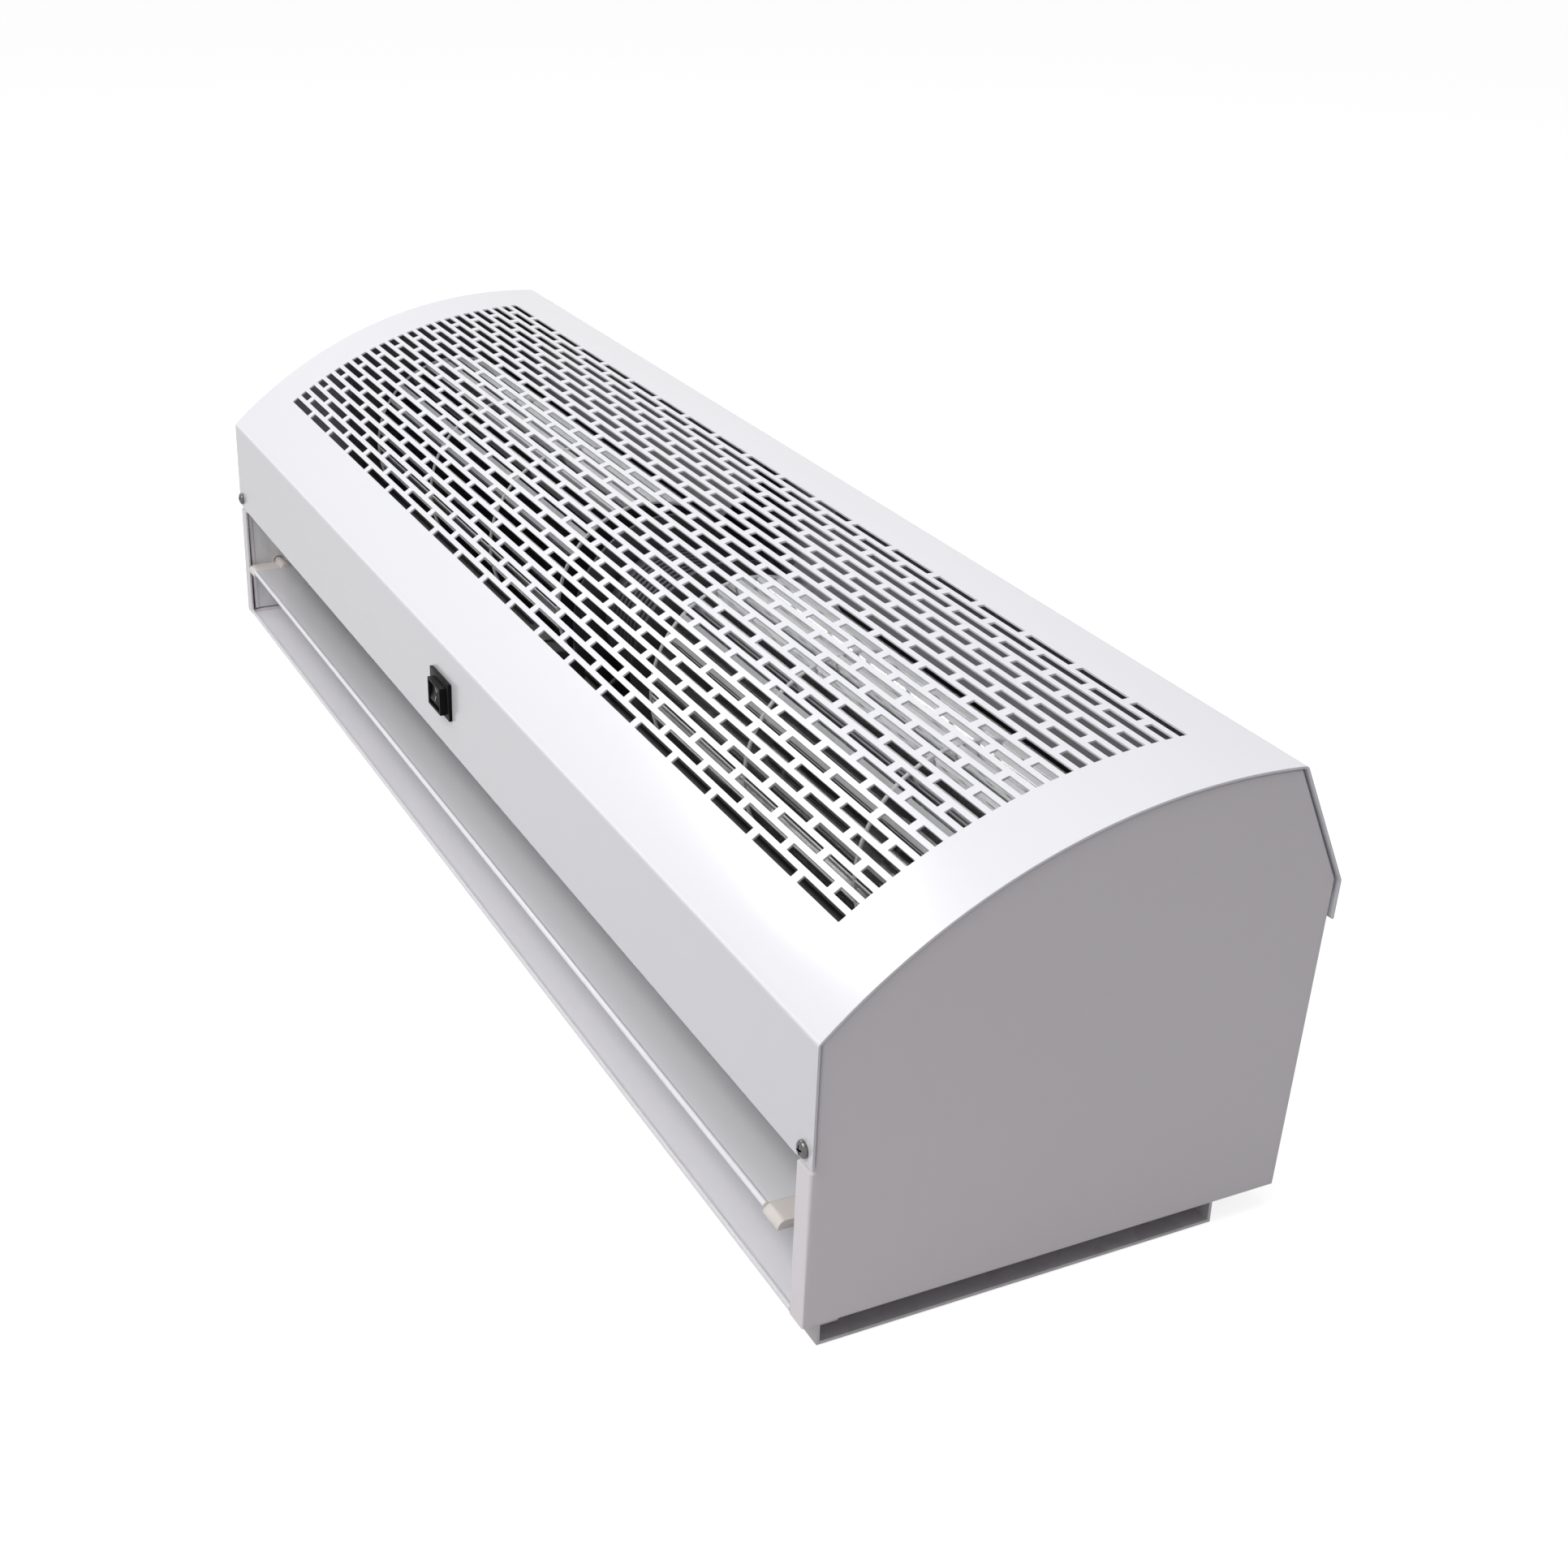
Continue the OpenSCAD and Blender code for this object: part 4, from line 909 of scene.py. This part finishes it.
# %% Where the fasteners sit
def fastened(name, fastener, marks, material, node, size=1.0):
    """Marks are (x, depth, height, facing); facing is (depth, height)."""
    mesh = bpy.data.meshes.new(name)
    mesh.from_pydata([place(x, depth, height) for x, depth, height, facing in marks], [], [])
    arrows = mesh.attributes.new("facing", "FLOAT_VECTOR", "POINT")
    for arrow, (x, depth, height, facing) in zip(arrows.data, marks):
        arrow.vector = Vector((0, *facing)).normalized()
    piece = new_piece(name, mesh, material)
    setting = piece.modifiers.new("set on points", "NODES")
    setting.node_group = set_on_points
    set_inputs(setting, {"Fastener": fastener, "Size": size, "Finish": material})
    stands_for(bake(piece, material), node)


lean = FRONT_CREASE.x / FRONT_CREASE.y
rear_lean = (REAR_CREASE.x - PAN_REAR.x) / REAR_CREASE.y
SCREW_X, FRONT_SCREW_Z, REAR_SCREW_Z = 442.4, 87.0, 147.0
LOCK_X, RIVET_X = 260.0, 443.0
front_marks = [(x, *on_front(FRONT_SCREW_Z), (-1, lean)) for x in (-SCREW_X, SCREW_X)]
rear_marks = [(x, *on_rear(REAR_SCREW_Z), (1, -rear_lean)) for x in (-SCREW_X, SCREW_X)]
fastened("cover_screw_set", screw_body, front_marks + rear_marks, chrome, "cover_screws")
PLATE_BACK = OUTLET_FACE + 102.0
fastened("lock_screw_set", screw_body, [(x, PLATE_BACK, -PLATE_H / 2, (1, 0)) for x in (-LOCK_X, LOCK_X)],
         chrome, "lock_screws")
fastened("pan_rivet_set", rivet_body,
         [(side * RIVET_X, depth, 0.0, (0, -1)) for side in (-1, 1) for depth in (30, 90, 160, 230)],
         plate_zinc, "pan_rivets")
bpy.data.objects.remove(screw_body)
bpy.data.objects.remove(rivet_body)

# %% [markdown]
# ## The cross-flow wheels
# Each wheel is four thin discs joined by three rings of thirty curved blades. The blade and the discs are
# drawn once. The tree counts blades and segments, turns each copy about the axis by its share of a full
# turn, and moves it along by its segment.

# %% Tree: a cross-flow wheel
tree, given, result = open_group(
    "cross-flow wheel", "GeometryNodeTree",
    [("Unused", "Geometry", None), ("Blade", "Object", None), ("Ring", "Object", None),
     ("Disc", "Object", None), ("Blades", "Int", 30), ("Segments", "Int", 3),
     *numbers(Segment_length=0.1, Start=0.0), ("Axis", "Vector", None), ("Finish", "Material", None)],
    [("Wheel", "Geometry")])
index = add(tree, "GeometryNodeInputIndex").outputs[0]
axis = add(tree, "ShaderNodeSeparateXYZ", {0: given["Axis"]}).outputs


def along_axis(tree, number):
    """A point on the axis after this many segments."""
    x = calc(tree, "MULTIPLY_ADD", number, given["Segment length"], given["Start"])
    return add(tree, "ShaderNodeCombineXYZ", {"X": x, "Y": axis["Y"], "Z": axis["Z"]}).outputs[0]


def copies_of(tree, socket, count, position, rotation=None):
    points = add(tree, "GeometryNodePoints", {"Count": count, "Position": position}).outputs[0]
    shape = add(tree, "GeometryNodeObjectInfo", {"Object": given[socket]}).outputs["Geometry"]
    inputs = {"Points": points, "Instance": shape}
    if rotation:
        inputs["Rotation"] = rotation
    return add(tree, "GeometryNodeInstanceOnPoints", inputs).outputs[0]


turn_of = calc(tree, "DIVIDE", times(tree, index, math.tau), given["Blades"])
segment_of = calc(tree, "FLOOR", calc(tree, "DIVIDE", index, given["Blades"]))
spin = add(tree, "ShaderNodeCombineXYZ", {"X": turn_of}).outputs[0]
blades = copies_of(tree, "Blade", times(tree, given["Blades"], given["Segments"]),
                   along_axis(tree, segment_of), spin)
rings = copies_of(tree, "Ring", minus(tree, given["Segments"], 1.0),
                  along_axis(tree, calc(tree, "ADD", index, 1.0)))
half_turn = add(tree, "ShaderNodeCombineXYZ", {"Z": times(tree, index, math.pi)}).outputs[0]
wheel_ends = along_axis(tree, times(tree, index, given["Segments"]))
discs = copies_of(tree, "Disc", 2, wheel_ends, half_turn)
joined = tree.nodes.new("GeometryNodeJoinGeometry")
for part in (discs, rings, blades):
    tree.links.new(part, joined.inputs[0])
wheel_tree = close_group(tree, result, {"Wheel": realized(tree, joined.outputs[0], given["Finish"])})

# %% Blade, ring and disc
WHEEL_Y, WHEEL_Z, WHEEL_R = 157.0, 121.0, 60.0
SEGMENT, WHEEL_X = 118.0, 68.0
RING_T, BLADE_T, RIM_T = 1.2, 0.9, 1.0


def prism(name, section, x0, x1):
    """Extrudes a closed section of (y, z) in millimetres along X."""
    work = bmesh.new()
    ends = [[work.verts.new((x * MM, y * MM, z * MM)) for y, z in section] for x in (x0, x1)]
    strip(work, *ends)
    work.faces.new(ends[0])
    work.faces.new(list(reversed(ends[1])))
    return close_mesh(work, name)


def washer(name, radius, bore, thick, rim_from, rim_to, edge=0.25, steps=96):
    """A flat ring about X, centred on x = 0, with a rolled rim that runs between two places on X."""
    half = thick / 2
    inner = radius - RIM_T
    section = [(bore, -half), (inner, -half), (inner, rim_from), (radius - edge, rim_from),
               (radius, rim_from + edge), (radius, rim_to - edge), (radius - edge, rim_to), (inner, rim_to),
               (inner, half), (bore, half)]
    section = [spot for spot, last in zip(section, section[-1:] + section[:-1]) if spot != last]
    work = bmesh.new()
    loops = [[work.verts.new((x * MM, r * MM * math.cos(a), r * MM * math.sin(a)))
              for a in (math.tau * i / steps for i in range(steps))] for r, x in section]
    for one, two in zip(loops, loops[1:] + loops[:1]):
        strip(work, one, two)
    return close_mesh(work, name)


curve_at, curve_r = Vector((47.85, -4.24)), 12.4
sweep = [math.radians(20.0 + 72.5 * i / 7) for i in range(8)]
blade_section = [curve_at + (curve_r + BLADE_T / 2) * Vector((math.cos(a), math.sin(a))) for a in sweep]
blade_section += [curve_at + (curve_r - BLADE_T / 2) * Vector((math.cos(a), math.sin(a)))
                  for a in reversed(sweep)]
blade = new_piece("blade", prism("blade", blade_section, RING_T / 4, SEGMENT - RING_T / 4), blade_metal)
ring = new_piece("ring", washer("ring", WHEEL_R, 46.5, RING_T, -1.1, 1.1), blade_metal)
disc = new_piece("disc", washer("disc", WHEEL_R, 5.06, RING_T, -RING_T / 2, 1.6), blade_metal)
print("blade", len(blade.data.polygons), "faces")

# %% Wheels
for label, side in (("left", -1), ("right", 1)):
    # The right wheel wears the lit copy and the left wheel the shaded copy: painted light and shade.
    metal = blade_metal if side > 0 else shaded_wheel_metal
    empty = bpy.data.meshes.new("wheel")
    wheel = new_piece("cross_flow_wheel_" + label, empty, metal)
    making = wheel.modifiers.new("wheel", "NODES")
    making.node_group = wheel_tree
    start = WHEEL_X + RING_T / 2 if side > 0 else -WHEEL_X - 3 * SEGMENT + RING_T / 2
    set_inputs(making, {"Blade": blade, "Ring": ring, "Disc": disc, "Start": start * MM,
                        "Segment length": (SEGMENT - RING_T / 3) * MM,
                        "Axis": place(0, WHEEL_Y, WHEEL_Z), "Finish": metal})
    stands_for(bake(wheel, metal, 40.0), "impeller_" + label)
for drawn_once in (blade, ring, disc):
    bpy.data.objects.remove(drawn_once)

# %% [markdown]
# ## Moulded and machined pieces
# The switch, the vane's ends, the motor and the small parts have the right form in the CAD, but their
# edges are knife sharp. Real edges catch a line of light. A merged copy of each solid gets a small bevel
# and stands for it.

# %% Softened copies
softened("wall_plate", plate_zinc, 0.55)
softened("switch_housing", black_gloss, 0.45, 3)
softened("switch_rocker", black_gloss, 0.4, 3)
for label in ("left", "right"):
    softened("vane_cap_" + label, cream_plastic, 0.4, 2, 50.0)
    softened("duct_cheek_" + label, lit_duct_enamel, 0.35, 2)
    softened("motor_bracket_" + label, zinc_sheet, 0.4)
    softened("vane_pivot_" + label, cream_plastic, 0.3, 2, 50.0)
softened("vane_blade", lit_duct_enamel, 0.45, 3)
softened("bracket_screws", chrome, 0.3, 2, 50.0)
for node in ("motor_housing", "motor_end_bell"):
    softened(node, motor_metal, 0.4, 2, 50.0)
softened("capacitor", dark_plastic, 0.8, 2, 50.0)
softened("terminal_block", dark_plastic, 0.6, 2, 50.0)
softened("cable_grommet", rubber, 0.6, 2, 50.0)

# %% Marks on the rocker
def raised(name, loops, centre, normal, height=0.12):
    """Low relief: closed loops in millimetres (x, up), set on a face of the rocker."""
    out = Vector((0, *normal)).normalized()
    up = Vector((1, 0, 0)).cross(out) * -1
    middle = place(0, *centre)
    work = bmesh.new()
    for outer, inner in loops:
        rows = []
        for loop, lift in ((outer, -0.1), (outer, height), (inner, height), (inner, -0.1)):
            rows.append([work.verts.new(middle + (Vector((1, 0, 0)) * x + up * z + out * lift) * MM)
                         for x, z in loop])
        for one, two in zip(rows, rows[1:] + rows[:1]):
            strip(work, one, two)
    piece = new_piece(name, close_mesh(work, name), mark_paint)
    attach(piece, body_of["switch_rocker"])
    return piece


def circle_of(radius, count=32):
    return [(radius * math.cos(math.tau * i / count), radius * math.sin(math.tau * i / count))
            for i in range(count)]


def bar_of(wide, tall):
    return [(-wide / 2, -tall / 2), (wide / 2, -tall / 2), (wide / 2, tall / 2), (-wide / 2, tall / 2)]


raised("rocker_mark_off", [(circle_of(1.6), circle_of(1.15))], (-2.06, 113.16), (-1.0, 0.0))
raised("rocker_mark_on", [(bar_of(0.6, 2.8), bar_of(0.1, 2.2))], (-2.72, 107.8), (-0.970, 0.242))
